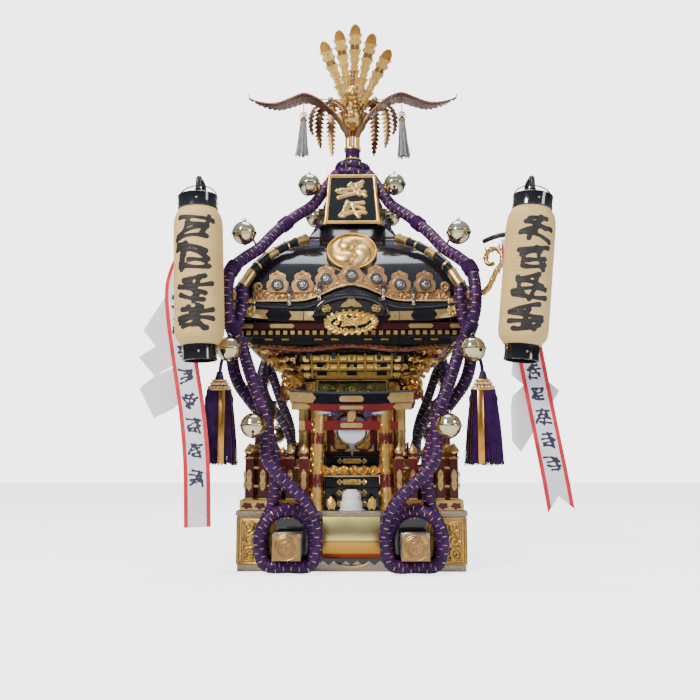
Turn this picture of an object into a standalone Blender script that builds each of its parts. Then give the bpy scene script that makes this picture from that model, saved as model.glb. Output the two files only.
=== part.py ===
"""A mikoshi, the portable shrine of a festival: base with pole ends, fence, gates, shrine hall, curved
roof with a phoenix, thick cords with round bells, two paper lanterns, tassels, paper streamers and ribbons.

Metres, +Z up, front towards -Y. The origin is the middle of the base's underside.
"""

import math

import bmesh
import bpy
from mathutils import Matrix, Vector

# Clearance between pieces that touch
GAP = 0.0003

# Base
BASE_WIDTH = 0.742
FOOT_BOARD_HEIGHT = 0.020
BASE_TOP = 0.193
TOP_BOARD_THICKNESS = 0.016
TOP_BOARD_OVERHANG = 0.006
POLE_WIDTH = 0.086
POLE_HEIGHT = 0.080
POLE_LOW = 0.050
POLE_SPACING = 0.400
POLE_REACH = 0.140
POLE_CREST_RADIUS = 0.030
APRON_WIDTH = 0.186
APRON_THICKNESS = 0.003
APRON_BULGE = 0.016

# Fence and gates
FENCE_INSET = 0.029
FENCE_LINE = BASE_WIDTH / 2 - FENCE_INSET
PLINTH_HEIGHT = 0.034
PLINTH_DEPTH = 0.046
POST_WIDTH = 0.027
POST_HEIGHT = 0.140
FINIAL_HEIGHT = 0.046
POST_PITCH = 0.045
POSTS_EACH_SIDE = 5
RAIL_WIDTH = 0.012
RAIL_HEIGHTS = (0.045, 0.105)
GATE_HALF = 0.116
GATE_LEAN = 0.010
GATE_PILLAR_RADIUS = 0.021
GATE_TOP = 0.522
TIE_LOW, TIE_HIGH, TIE_HALF = 0.457, 0.487, 0.176
LINTEL_HALF, LINTEL_RISE, LINTEL_THICKNESS = 0.206, 0.062, 0.040

# Shrine hall
PODIUM_HALF = 0.195
PODIUM_TOP = 0.371
STEP_COUNT = 5
STEP_HALF = 0.092
STEP_RUN = 0.014
HALL_HALF = 0.165
HALL_WALL = 0.014
HALL_TOP = 0.565
DOOR_HALF_WIDTH = 0.078
DOOR_HEIGHT = 0.170
DOOR_THICKNESS = 0.012
COLUMN_RADIUS = 0.017
COLUMN_AT = 0.172
MIRROR_RADIUS = 0.064
MIRROR_HEIGHT = 0.467
MIRROR_OUT = 0.262
OFFERING_RADIUS = 0.043
OFFERING_HEIGHT = 0.068
FRIEZE_HALF = 0.188
FRIEZE_TOP = 0.640
NOSING_REACH = 0.062
BRACKET_HALVES = (0.205, 0.235, 0.262, 0.286)
BRACKET_TOP = 0.745

# Eaves and roof
RAFTER_TOP = 0.790
EAVE_HALF = 0.402
EAVE_LOW = 0.813
EAVE_EDGE = 0.045
EAVE_UPTURN = 0.024
ARCH_RISE = 0.054
ARCH_SHARE = 0.30
ROOF_PROFILE = ((0.396, 0.882), (0.368, 0.928), (0.332, 1.005), (0.293, 1.060), (0.236, 1.112),
                (0.170, 1.158), (0.106, 1.232))
ROOF_COLUMNS = 12
RIDGE_RADIUS = 0.017
CREST_RADIUS = 0.088
CREST_SHARE = 0.611
CROWN_HALF = 0.125
CROWN_TOP = 1.300
POST_RADIUS = 0.028
NECK_TOP = 1.565
PLAQUE_HEIGHT = 0.200
PLAQUE_TOP_HALF = 0.088
PLAQUE_LOW_HALF = 0.103
PLAQUE_THICKNESS = 0.018
SCROLL_RADIUS = 0.046
SCROLL_AT = 0.462
SCROLL_HEIGHT = 1.010

# Phoenix
BIRD_HEIGHT = 2.141
WING_HALF = 0.414
FEATHER_THICKNESS = 0.004

# Cords, bells, tassels
CORD_DIAMETER = 0.042
BELL_RADIUS = 0.040
TASSEL_WIDTH = 0.105
TASSEL_LENGTH = 0.300

# Lanterns
LANTERN_RADIUS = 0.077
LANTERN_WALL = 0.004
RING_RADIUS = 0.062
BAR_RADIUS = 0.008

# Streamers and ribbons
PAPER_THICKNESS = 0.002
RIBBON_WIDTH = 0.082

PARTS = None
HELPERS = None


def clear_scene():
    for obj in list(bpy.data.objects):
        bpy.data.objects.remove(obj)


def new_collection(name, hidden=False):
    made = bpy.data.collections.new(name)
    bpy.context.scene.collection.children.link(made)
    made.hide_render = hidden
    return made


def material(name, rgb, roughness, metallic=0.0):
    made = bpy.data.materials.new(name)
    made.use_nodes = True
    shader = made.node_tree.nodes["Principled BSDF"]
    shader.inputs["Base Color"].default_value = (*rgb, 1.0)
    shader.inputs["Roughness"].default_value = roughness
    shader.inputs["Metallic"].default_value = metallic
    made.diffuse_color = (*rgb, 1.0)
    return made


def add(name, mesh, finish, at=(0, 0, 0), collection=None):
    obj = bpy.data.objects.new(name, mesh)
    obj.location = at
    if finish:
        mesh.materials.append(finish)
    (collection or PARTS).objects.link(obj)
    return obj


def as_helper(obj):
    for owner in list(obj.users_collection):
        owner.objects.unlink(obj)
    HELPERS.objects.link(obj)
    obj.hide_render = True
    obj.display_type = "WIRE"
    return obj


def mesh_of(build, name):
    shape = bmesh.new()
    build(shape)
    bmesh.ops.recalc_face_normals(shape, faces=shape.faces)
    mesh = bpy.data.meshes.new(name)
    shape.to_mesh(mesh)
    shape.free()
    return mesh


def box(name, low, high, finish=None, bevel=0.0):
    """A box from its lowest to its highest corner."""
    low, high = Vector(low), Vector(high)
    size, middle = high - low, (low + high) / 2

    def build(shape):
        bmesh.ops.create_cube(shape, size=1.0)
        bmesh.ops.scale(shape, vec=size, verts=shape.verts)

    obj = add(name, mesh_of(build, name), finish, middle)
    if bevel:
        edge = obj.modifiers.new("rounded edges", "BEVEL")
        edge.width = bevel
        edge.segments = 1
    return obj


def turned(name, profile, sides, finish=None, at=(0, 0, 0), square=False, closed=False):
    """A turned solid from (radius, height) points, bottom to top. With square, radius is a half width.

    A closed profile is a ring's section, its outer side first from the bottom up, then its inner side down.
    """
    line = list(reversed(profile))
    if not closed:
        line = [(0.0, line[0][1])] * (line[0][0] > 0) + line + [(0.0, line[-1][1])] * (line[-1][0] > 0)
    mesh = bpy.data.meshes.new(name)
    corners = [(r, r if square else 0.0, z) for r, z in line]
    edges = [(k, k + 1) for k in range(len(line) - 1)] + [(len(line) - 1, 0)] * closed
    mesh.from_pydata(corners, edges, [])
    obj = add(name, mesh, finish, at)
    screw = obj.modifiers.new("turned", "SCREW")
    screw.steps = screw.render_steps = sides
    screw.use_merge_vertices = True
    screw.merge_threshold = 0.0001
    screw.use_smooth_shade = False
    return obj


def bridge_rings(shape, rings):
    """Closes a solid over rings of points, whose first or last may be a single point."""
    for lower, upper in zip(rings, rings[1:]):
        count = max(len(lower), len(upper))
        for i in range(count):
            j = (i + 1) % count
            corners = []
            for ring, order in ((lower, (i, j)), (upper, (j, i))):
                corners += [ring[0]] if len(ring) == 1 else [ring[k] for k in order]
            shape.faces.new(corners)
    for ring in (rings[0], rings[-1]):
        if len(ring) > 2:
            shape.faces.new(ring)


def loft(name, sections, finish=None):
    """A solid through closed sections, each a list of as many points."""

    def build(shape):
        rings = [[shape.verts.new(point) for point in section] for section in sections]
        bridge_rings(shape, rings)

    return add(name, mesh_of(build, name), finish)


def meshed(obj):
    """The object's evaluated shape as a plain mesh object, caps welded."""
    bpy.context.view_layer.update()
    graph = bpy.context.evaluated_depsgraph_get()
    mesh = bpy.data.meshes.new_from_object(obj.evaluated_get(graph))
    shape = bmesh.new()
    shape.from_mesh(mesh)
    bmesh.ops.remove_doubles(shape, verts=shape.verts, dist=0.00002)
    bmesh.ops.recalc_face_normals(shape, faces=shape.faces)
    shape.to_mesh(mesh)
    shape.free()
    made = bpy.data.objects.new(obj.name + "_mesh", mesh)
    made.matrix_world = obj.matrix_world.copy()
    PARTS.objects.link(made)
    name = obj.name
    bpy.data.objects.remove(obj)
    made.name = name
    return made


def tube(name, points, radius, finish=None, resolution=2, radii=None):
    """A round bar along points, with filled caps. With radii, each point's own radius."""
    line = bpy.data.curves.new(name, "CURVE")
    line.dimensions = "3D"
    line.bevel_depth = radius
    line.bevel_resolution = resolution
    line.use_fill_caps = True
    spline = line.splines.new("POLY")
    spline.points.add(len(points) - 1)
    for index, (knot, point) in enumerate(zip(spline.points, points)):
        knot.co = (*point, 1.0)
        if radii:
            knot.radius = radii[index]
    return add(name, line, finish)


def plate(name, outline, thickness, finish=None, matrix=None):
    """A flat outline in its own XY plane, with a thickness, set in place by matrix."""
    shape = bpy.data.curves.new(name, "CURVE")
    shape.dimensions = "2D"
    shape.fill_mode = "BOTH"
    shape.extrude = thickness / 2
    spline = shape.splines.new("POLY")
    spline.points.add(len(outline) - 1)
    spline.use_cyclic_u = True
    for knot, (x, y) in zip(spline.points, outline):
        knot.co = (x, y, 0.0, 1.0)
    obj = add(name, shape, finish)
    if matrix is not None:
        obj.matrix_basis = matrix
    return obj


def prism(name, outline, low, high, finish=None):
    """A (y, z) outline that runs along X from low to high, as a mesh object."""
    place = Matrix(((0, 0, 1, (low + high) / 2), (1, 0, 0, 0), (0, 1, 0, 0), (0, 0, 0, 1)))
    return meshed(plate(name, outline, high - low, finish, place))


def boolean(target, others, operation):
    """Joins others to target, or cuts them from it."""
    for index, other in enumerate(others):
        step = target.modifiers.new(f"{operation.lower()} {index}", "BOOLEAN")
        step.operation = operation
        step.solver = "EXACT"
        step.object = as_helper(other)
    return target


def joined(target, others):
    """Joins many pieces at once, through a collection of their own."""
    group = bpy.data.collections.new(target.name + "_pieces")
    HELPERS.children.link(group)
    for other in others:
        as_helper(other)
        group.objects.link(other)
    step = target.modifiers.new("union", "BOOLEAN")
    step.operation = "UNION"
    step.solver = "EXACT"
    step.operand_type = "COLLECTION"
    step.collection = group
    return target


def fused(name, pieces, finish):
    """One solid from overlapping pieces, under the first one's name."""
    pieces = [meshed(piece) if piece.type == "CURVE" else piece for piece in pieces]
    target = pieces[0]
    target.name = name
    target.data.materials.clear()
    target.data.materials.append(finish)
    return joined(target, pieces[1:])


def smooth_line(points, spacing):
    """Points at an even spacing on a smooth curve through the given ones."""
    points = [Vector(p) for p in points]
    ends = [2 * points[0] - points[1], *points, 2 * points[-1] - points[-2]]
    fine = []
    for a, b, c, d in zip(ends, ends[1:], ends[2:], ends[3:]):
        for step in range(12):
            t = step / 12
            fine.append(0.5 * (2 * b + (c - a) * t + (2 * a - 5 * b + 4 * c - d) * t * t
                               + (3 * b - a - 3 * c + d) * t ** 3))
    fine.append(points[-1])
    total = sum((q - p).length for p, q in zip(fine, fine[1:]))
    count = max(2, round(total / spacing))
    made, walked, index = [fine[0]], 0.0, 0
    for k in range(1, count):
        wanted = total * k / count
        while walked + (fine[index + 1] - fine[index]).length < wanted:
            walked += (fine[index + 1] - fine[index]).length
            index += 1
        share = (wanted - walked) / (fine[index + 1] - fine[index]).length
        made.append(fine[index].lerp(fine[index + 1], share))
    return [*made, fine[-1]]


def side_matrix(side):
    """The turn about Z that takes the front to side 0 front, 1 right, 2 back or 3 left."""
    return Matrix.Rotation(side * math.pi / 2, 4, "Z")


def turned_to_side(obj, side):
    obj.matrix_basis = side_matrix(side) @ obj.matrix_basis
    return obj


# Base

def make_base(finishes):
    half = BASE_WIDTH / 2
    box("base_foot_board", (-half, -half, 0), (half, half, FOOT_BOARD_HEIGHT), finishes["silver"])
    frame_low = FOOT_BOARD_HEIGHT + GAP
    frame_high = BASE_TOP - TOP_BOARD_THICKNESS - GAP
    frame = box("base_frame", (-half, -half, frame_low), (half, half, frame_high), finishes["black"])
    edge = half + TOP_BOARD_OVERHANG
    box("base_top_board", (-edge, -edge, frame_high + GAP), (edge, edge, BASE_TOP), finishes["silver"])
    tunnels = []
    for side, name in ((-1, "left"), (1, "right")):
        middle = side * POLE_SPACING / 2
        tunnels.append(box(
            f"pole_tunnel_{name}",
            (middle - POLE_WIDTH / 2 - GAP, -half - 0.01, POLE_LOW - GAP),
            (middle + POLE_WIDTH / 2 + GAP, half + 0.01, POLE_LOW + POLE_HEIGHT + GAP),
        ))
        make_pole(name, middle, finishes["pole_metal"])
    boolean(frame, tunnels, "DIFFERENCE")
    make_apron(frame_high, finishes["brass"])


def make_pole(name, middle, finish):
    """A carrying pole through the base, its metal-clad ends square with a round crest boss."""
    reach = BASE_WIDTH / 2 + POLE_REACH
    bar = box(
        f"carry_pole_{name}",
        (middle - POLE_WIDTH / 2, -reach, POLE_LOW),
        (middle + POLE_WIDTH / 2, reach, POLE_LOW + POLE_HEIGHT),
        finish,
    )
    bosses = []
    for facing in (-1, 1):
        boss = turned(
            f"pole_boss_{name}_{facing}",
            ((POLE_CREST_RADIUS, -0.004), (POLE_CREST_RADIUS, 0.003), (POLE_CREST_RADIUS * 0.85, 0.006)),
            14,
        )
        boss.matrix_basis = (Matrix.Translation((middle, facing * reach, POLE_LOW + POLE_HEIGHT / 2))
                             @ Matrix.Rotation(-facing * math.pi / 2, 4, "X"))
        bosses.append(boss)
    boolean(bar, bosses, "UNION")


def make_apron(high, finish):
    """The polished sheet that hangs over the middle of the base's front, bowed outwards."""
    front = -BASE_WIDTH / 2 - GAP
    low, rows = FOOT_BOARD_HEIGHT + 0.022, 8
    outer = []
    for k in range(rows + 1):
        share = k / rows
        outer.append((front - APRON_THICKNESS - APRON_BULGE * max(0.0, math.sin(math.pi * share)) ** 0.8,
                      low + (high - low) * share))
    inner = [(y + APRON_THICKNESS, z) for y, z in reversed(outer)]
    prism("front_apron", outer + inner, -APRON_WIDTH / 2, APRON_WIDTH / 2, finish)


# Fence and gates

def fence_post(name, x):
    low = BASE_TOP + PLINTH_HEIGHT - 0.004
    shaft_top = BASE_TOP + PLINTH_HEIGHT + POST_HEIGHT
    wide = POST_WIDTH / 2
    return turned(name, (
        (wide, low), (wide, shaft_top), (wide * 0.75, shaft_top + FINIAL_HEIGHT * 0.55),
        (0.0, shaft_top + FINIAL_HEIGHT),
    ), 4, at=(x, -FENCE_LINE, 0), square=True)


def fence_pieces(tag, direction, reach):
    """The plinth, rails and posts of half a side, from the gate towards a corner at direction -1 or 1."""
    inner = GATE_HALF + GATE_LEAN + GATE_PILLAR_RADIUS + 0.002
    low = BASE_TOP + GAP
    ends = sorted((direction * inner, direction * reach))
    pieces = [box(
        f"{tag}_plinth",
        (ends[0], -FENCE_LINE - PLINTH_DEPTH / 2, low),
        (ends[1], -FENCE_LINE + PLINTH_DEPTH / 2, BASE_TOP + PLINTH_HEIGHT),
    )]
    first = FENCE_LINE - 0.004 - POST_PITCH * (POSTS_EACH_SIDE - 1)
    posts = [direction * (first + POST_PITCH * k) for k in range(POSTS_EACH_SIDE)]
    posts = [x for x in posts if abs(x) + POST_WIDTH / 2 < reach]
    for index, height in enumerate(RAIL_HEIGHTS):
        spans = sorted((posts[0], posts[-1]))
        pieces.append(box(
            f"{tag}_rail_{index}",
            (spans[0], -FENCE_LINE - RAIL_WIDTH / 2, BASE_TOP + PLINTH_HEIGHT + height - RAIL_WIDTH / 2),
            (spans[1], -FENCE_LINE + RAIL_WIDTH / 2, BASE_TOP + PLINTH_HEIGHT + height + RAIL_WIDTH / 2),
        ))
    pieces += [fence_post(f"{tag}_post_{k}", x) for k, x in enumerate(posts)]
    return pieces


def gate_pillar(name, direction, high):
    """A round pillar that leans inwards as it rises, as far as the height high."""
    sides, low, rings = 8, BASE_TOP + GAP, []
    for z in (low, high):
        share = (z - low) / (GATE_TOP - low)
        x = GATE_HALF + GATE_LEAN * (0.5 - share)
        rings.append([
            (direction * x + GATE_PILLAR_RADIUS * math.cos(2 * math.pi * k / sides),
             -FENCE_LINE + 0.012 + GATE_PILLAR_RADIUS * math.sin(2 * math.pi * k / sides), z)
            for k in range(sides)
        ])
    return loft(name, rings)


def gate_beams(tag):
    """The tie beam, the strut over it and the two stacked lintel beams, as a list of overlapping pieces."""
    line = -FENCE_LINE + 0.012
    low = GATE_TOP - 0.002
    lintel = []
    for x in (-1.0, -0.5, 0.0, 0.5, 1.0):
        lift = 0.008 * x * x
        top = low + LINTEL_RISE + lift
        half = LINTEL_THICKNESS / 2
        lintel.append([
            (x * (LINTEL_HALF - 0.012), line - half * 0.8, low + lift),
            (x * (LINTEL_HALF - 0.012), line + half * 0.8, low + lift),
            (x * LINTEL_HALF, line + half, top), (x * LINTEL_HALF, line - half, top),
        ])
    tie = box(f"{tag}_tie", (-TIE_HALF, line - 0.011, TIE_LOW), (TIE_HALF, line + 0.011, TIE_HIGH))
    strut = box(f"{tag}_strut", (-0.016, line - 0.012, TIE_HIGH - 0.004), (0.016, line + 0.012, GATE_TOP + 0.004))
    return [loft(f"{tag}_lintel", lintel), tie, strut]


def make_fences(finishes):
    red = finishes["red"]
    corner = FENCE_LINE + PLINTH_DEPTH / 2
    for name, direction in (("left", -1), ("right", 1)):
        fused(f"fence_front_{name}", fence_pieces(f"front_{name}", direction, corner), red)
    inset = FENCE_LINE - PLINTH_DEPTH / 2 - GAP
    for side, name, reach in ((1, "right", inset), (2, "back", corner), (3, "left", inset)):
        pieces = []
        for direction in (-1, 1):
            tag = f"{name}_{direction}"
            pillar = gate_pillar(f"{tag}_pillar", direction, GATE_TOP)
            run = fence_pieces(tag, direction, reach)
            stretch = sorted((direction * GATE_HALF, direction * (GATE_HALF + 0.06)))
            foot = box(f"{tag}_foot", (stretch[0], -FENCE_LINE - 0.012, BASE_TOP + GAP),
                       (stretch[1], -FENCE_LINE + 0.012, BASE_TOP + 0.02))
            pieces += [pillar, foot, *run]
        pieces += gate_beams(name)
        for piece in pieces:
            turned_to_side(piece, side)
        fused(f"fence_{name}", pieces, red)


def make_front_gate(finishes):
    """The front gate in separate pieces: the beams, and two pillars with a mortise for the tie beam."""
    fused("gate_beams", gate_beams("front"), finishes["black"])
    line = -FENCE_LINE + 0.012
    for name, direction in (("left", -1), ("right", 1)):
        pillar = gate_pillar(f"gate_pillar_{name}", direction, GATE_TOP - 0.002 - GAP)
        pillar.data.materials.append(finishes["gold"])
        mortise = box(f"mortise_{name}",
                      (direction * GATE_HALF - 0.04, line - 0.011 - GAP, TIE_LOW - GAP),
                      (direction * GATE_HALF + 0.04, line + 0.011 + GAP, TIE_HIGH + GAP))
        boolean(pillar, [mortise], "DIFFERENCE")


# Shrine hall

def make_podium(finishes):
    """The black stepped podium: a square block with a flight of steps on each side."""
    low = BASE_TOP + GAP
    hall = PODIUM_HALF
    block = box("podium", (-hall, -hall, low), (hall, hall, PODIUM_TOP), finishes["black"])
    rise = (PODIUM_TOP - low) / STEP_COUNT
    flights = []
    for side in range(4):
        outline = [(hall - 0.01, low)]
        front = hall + STEP_RUN * STEP_COUNT
        for k in range(STEP_COUNT):
            outline.append((front - STEP_RUN * k, low + rise * k))
            outline.append((front - STEP_RUN * k, low + rise * (k + 1)))
        outline.append((hall - 0.01, low + rise * STEP_COUNT))
        flight = prism(f"podium_flight_{side}", [(-y, z) for y, z in outline], -STEP_HALF, STEP_HALF)
        flights.append(turned_to_side(flight, side))
    boolean(block, flights, "UNION")


def make_hall(finishes):
    """The hollow hall with its front doorway, four round corner columns and three panelled sides."""
    low, high = PODIUM_TOP + GAP, HALL_TOP
    walls = box("hall_walls", (-HALL_HALF, -HALL_HALF, low), (HALL_HALF, HALL_HALF, high), finishes["red"])
    inner = HALL_HALF - HALL_WALL
    cutters = [box("hall_inside", (-inner, -inner, low + HALL_WALL), (inner, inner, high + 0.01))]
    door_low = low + 0.012
    door_high = door_low + DOOR_HEIGHT
    cutters.append(box(
        "doorway",
        (-DOOR_HALF_WIDTH - GAP, -HALL_HALF - 0.01, door_low - GAP),
        (DOOR_HALF_WIDTH + GAP, -inner + 0.01, door_high + GAP),
    ))
    for side in (1, 2, 3):
        sunk = box(f"panel_{side}", (-DOOR_HALF_WIDTH, -HALL_HALF - 0.01, door_low),
                   (DOOR_HALF_WIDTH, -HALL_HALF + 0.004, door_high))
        cutters.append(turned_to_side(sunk, side))
    columns = []
    for x, y in ((-1, -1), (1, -1), (1, 1), (-1, 1)):
        columns.append(turned(
            f"hall_column_{x}_{y}",
            ((COLUMN_RADIUS * 1.15, low), (COLUMN_RADIUS * 1.15, low + 0.019), (COLUMN_RADIUS, low + 0.023),
             (COLUMN_RADIUS, high)), 10, at=(x * COLUMN_AT, y * COLUMN_AT, 0),
        ))
    joined(walls, columns)
    boolean(walls, cutters, "DIFFERENCE")
    for name, direction in (("left", -1), ("right", 1)):
        spans = sorted((direction * GAP, direction * (DOOR_HALF_WIDTH - GAP)))
        box(f"door_{name}", (spans[0], -HALL_HALF + 0.001, door_low + GAP),
            (spans[1], -HALL_HALF + 0.001 + DOOR_THICKNESS, door_high - GAP), finishes["red"])


def make_mirror(finishes):
    """The round silver mirror between gate and doors, with the three cloth ties that hold it."""
    disc = turned("mirror", (
        (0.0, 0.000), (MIRROR_RADIUS, 0.004), (MIRROR_RADIUS, 0.010), (MIRROR_RADIUS * 0.85, 0.017),
        (0.0, 0.025),
    ), 20, finishes["silver"])
    disc.matrix_basis = (Matrix.Translation((0, -MIRROR_OUT, MIRROR_HEIGHT))
                         @ Matrix.Rotation(math.pi / 2, 4, "X"))
    ties = []
    pillar_in = GATE_HALF - GATE_PILLAR_RADIUS
    for index, (x, z, hold) in enumerate((
        (-0.046, 0.040, (-pillar_in, -FENCE_LINE + 0.012 + GATE_PILLAR_RADIUS + 0.006, GATE_TOP - 0.006)),
        (0.046, 0.040, (pillar_in, -FENCE_LINE + 0.012 + GATE_PILLAR_RADIUS + 0.006, GATE_TOP - 0.006)),
        (0.0, -0.058, (0.0, -HALL_HALF - 0.03 - STEP_RUN - 0.005, PODIUM_TOP + 0.004)),
    )):
        start = (x, -MIRROR_OUT - 0.006, MIRROR_HEIGHT + z)
        ties.append(tube(f"mirror_tie_{index}", [start, hold], 0.0045, resolution=0))
    fused("mirror", [disc, *ties], finishes["silver"])


def make_offering(finish):
    """The white two-tier offering that rests on the base in front of the steps."""
    r, h, low = OFFERING_RADIUS, OFFERING_HEIGHT, BASE_TOP + GAP
    profile = [(r * 1.02, low), (r * 1.05, low + h * 0.03)]
    for base, top, wide in ((0.03, 0.56, 1.0), (0.56, 1.0, 0.72)):
        for k in range(1, 4):
            angle = math.pi * k / 4
            profile.append((r * wide * (0.86 + 0.14 * math.sin(angle)),
                            low + h * (base + (top - base) * (1 - math.cos(angle)) / 2)))
    profile.append((r * 0.5, low + h * 0.99))
    profile.append((0.0, low + h))
    turned("offering", profile, 14, finish, at=(0.0, -FENCE_LINE - 0.001 + 0.012, 0))


def make_frieze(finish):
    """The carved head frame on the columns, with a nosing carved as a head at each corner."""
    low = HALL_TOP + GAP
    frame = turned("frieze", (
        (FRIEZE_HALF, low), (FRIEZE_HALF, low + 0.018), (FRIEZE_HALF - 0.012, low + 0.020),
        (FRIEZE_HALF - 0.012, FRIEZE_TOP - 0.014), (FRIEZE_HALF, FRIEZE_TOP - 0.012),
        (FRIEZE_HALF, FRIEZE_TOP),
    ), 4, finish, square=True)
    nosings = []
    for corner in range(4):
        angle = math.pi / 4 + corner * math.pi / 2
        start = (FRIEZE_HALF - 0.03) * math.sqrt(2)
        sections = []
        for out, half, drop, high in ((0.0, 0.020, 0.004, 0.064), (0.030, 0.026, 0.000, 0.062),
                                      (NOSING_REACH * 0.8, 0.024, 0.014, 0.050),
                                      (NOSING_REACH + 0.03, 0.012, 0.026, 0.042)):
            sections.append([
                (start + out, -half, low + drop + 0.004), (start + out, half, low + drop + 0.004),
                (start + out, half * 0.7, low + high), (start + out, -half * 0.7, low + high),
            ])
        nosing = loft(f"frieze_nosing_{corner}", sections)
        nosing.matrix_basis = Matrix.Rotation(angle, 4, "Z")
        nosings.append(nosing)
    boolean(frame, nosings, "UNION")


def make_brackets(finish):
    """The stepped bracket complex that spreads from the frieze to the eaves."""
    low = FRIEZE_TOP + GAP
    tier = (BRACKET_TOP - low) / len(BRACKET_HALVES)
    profile = [(FRIEZE_HALF - 0.006, low)]
    for index, half in enumerate(BRACKET_HALVES):
        profile.append((half - 0.018, low + tier * index + 0.001))
        profile.append((half, low + tier * (index + 0.45)))
        profile.append((half, low + tier * (index + 1) - 0.001))
    core = turned("brackets", profile, 4, finish, square=True)
    blocks = []
    for side in range(4):
        for x in (-0.105, 0.0, 0.105):
            for index, half in enumerate(BRACKET_HALVES[:-2]):
                high = low + tier * (index + 1)
                block = box(f"bracket_{side}_{x}_{index}", (x - 0.017, -half - 0.024, high - 0.016),
                            (x + 0.017, -half + 0.010, high + tier * 0.6))
                blocks.append(turned_to_side(block, side))
    joined(core, blocks)


# Eaves and roof

def make_eaves(finish):
    """The two tiers of rafters and the red board over them, as one stepped square."""
    turned("eaves", (
        (0.300, BRACKET_TOP + GAP), (0.335, BRACKET_TOP + 0.002), (0.338, 0.766),
        (0.368, 0.768), (0.372, RAFTER_TOP), (EAVE_HALF - 0.016, RAFTER_TOP + 0.002),
        (EAVE_HALF - 0.012, EAVE_LOW - GAP),
    ), 4, finish, square=True)


def eave_arch(share):
    """The rise of the eave's gable arch at a share of the half width, from -1 to 1."""
    s = abs(share) / ARCH_SHARE
    if s >= 1.6:
        return 0.0
    return ARCH_RISE * (0.5 + 0.5 * math.cos(math.pi * s / 1.6)) ** 1.25


def eave_upturn(share):
    return EAVE_UPTURN * abs(share) ** 4


def roof_rings():
    """Square rings of points from the eave's underside to the roof's top, each (point list)."""
    rows = [(EAVE_HALF - 0.006, EAVE_LOW, 0.0, 1.0), (EAVE_HALF, EAVE_LOW + EAVE_EDGE, 1.0, 1.0)]
    lowest = ROOF_PROFILE[0][1]
    span = ROOF_PROFILE[-1][1] - lowest
    for half, z in ROOF_PROFILE:
        fade = max(0.0, 1 - (z - lowest) / span)
        rows.append((half, z, fade ** 5, fade ** 3))
    rings = []
    for half, z, arched, turned_up in rows:
        ring = []
        for side in range(4):
            turn = side_matrix(side)
            for k in range(ROOF_COLUMNS):
                share = -1 + 2 * k / ROOF_COLUMNS
                lift = eave_arch(share) * arched + eave_upturn(share) * turned_up
                ring.append(turn @ Vector((share * half, -half, z + lift)))
        rings.append(ring)
    return rings


def ridge_line():
    """The points of the front right corner ridge, from the roof's top down to the eave."""
    points = []
    lowest = ROOF_PROFILE[0][1]
    span = ROOF_PROFILE[-1][1] - lowest
    for half, z in reversed(ROOF_PROFILE[:-1]):
        fade = max(0.0, 1 - (z - lowest) / span)
        points.append(Vector((half, -half, z + eave_upturn(1) * fade ** 3)))
    points.append(Vector((EAVE_HALF + 0.010, -EAVE_HALF - 0.010, EAVE_LOW + EAVE_EDGE + EAVE_UPTURN + 0.012)))
    return points


def make_roof(finish):
    """The black roof with its four corner ridges and the round crest on each face."""
    roof = loft("roof", roof_rings(), finish)
    extras = []
    for side in range(4):
        ridge = meshed(tube(f"roof_ridge_{side}", ridge_line(), RIDGE_RADIUS, resolution=0))
        extras.append(turned_to_side(ridge, side))
        crest = turned(f"roof_crest_{side}", (
            (CREST_RADIUS, -0.022), (CREST_RADIUS, 0.006), (CREST_RADIUS * 0.88, 0.015),
            (0.0, 0.020)), 20)
        out, height = crest_place()
        crest.matrix_basis = (Matrix.Translation((0, -out, height))
                              @ Matrix.Rotation(math.radians(52), 4, "X"))
        extras.append(turned_to_side(crest, side))
    joined(roof, extras)


def crest_place():
    """The crest's distance from the middle and its height, on a face's centre line, at its share of the roof's rise."""
    low, top = ROOF_PROFILE[0][1], ROOF_PROFILE[-1][1]
    height = low + CREST_SHARE * (top - low)
    for (half_low, z_low), (half_high, z_high) in zip(ROOF_PROFILE, ROOF_PROFILE[1:]):
        if z_low <= height <= z_high:
            share = (height - z_low) / (z_high - z_low)
            return half_low + (half_high - half_low) * share, height
    return ROOF_PROFILE[-1]


def make_crown(finishes):
    """The box at the roof's top with the post that carries the phoenix."""
    low = ROOF_PROFILE[-1][1] + eave_upturn(0) + GAP
    crown = turned("roof_crown", (
        (CROWN_HALF * 0.88, low), (CROWN_HALF * 0.88, low + 0.030), (CROWN_HALF, low + 0.036),
        (CROWN_HALF, CROWN_TOP - 0.012), (CROWN_HALF * 0.7, CROWN_TOP), (0.046, CROWN_TOP + 0.010),
        (0.034, CROWN_TOP + 0.100), (0.030, CROWN_TOP + 0.130),
    ), 4, finishes["black"], square=True)
    post = turned("crown_post", ((POST_RADIUS, CROWN_TOP + 0.10), (POST_RADIUS, NECK_TOP)), 12)
    boolean(crown, [post], "UNION")


def make_plaque(finish):
    """The trapezoid name board in front of the crown, leaning back, with a raised frame."""
    low, high = -PLAQUE_HEIGHT / 2, PLAQUE_HEIGHT / 2
    outline = ((-PLAQUE_LOW_HALF, low), (PLAQUE_LOW_HALF, low), (PLAQUE_TOP_HALF, high), (-PLAQUE_TOP_HALF, high))
    place = (Matrix.Translation((0, -0.176, 1.305))
             @ Matrix.Rotation(math.radians(90 - 9), 4, "X"))
    board = meshed(plate("plaque", outline, PLAQUE_THICKNESS, finish, place))
    sunk = [(x * 0.9, y * 0.92) for x, y in outline]
    cutter = meshed(plate("plaque_field", sunk, 0.008, None, place @ Matrix.Translation((0, 0, PLAQUE_THICKNESS / 2))))
    boolean(board, [cutter], "DIFFERENCE")


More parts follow.
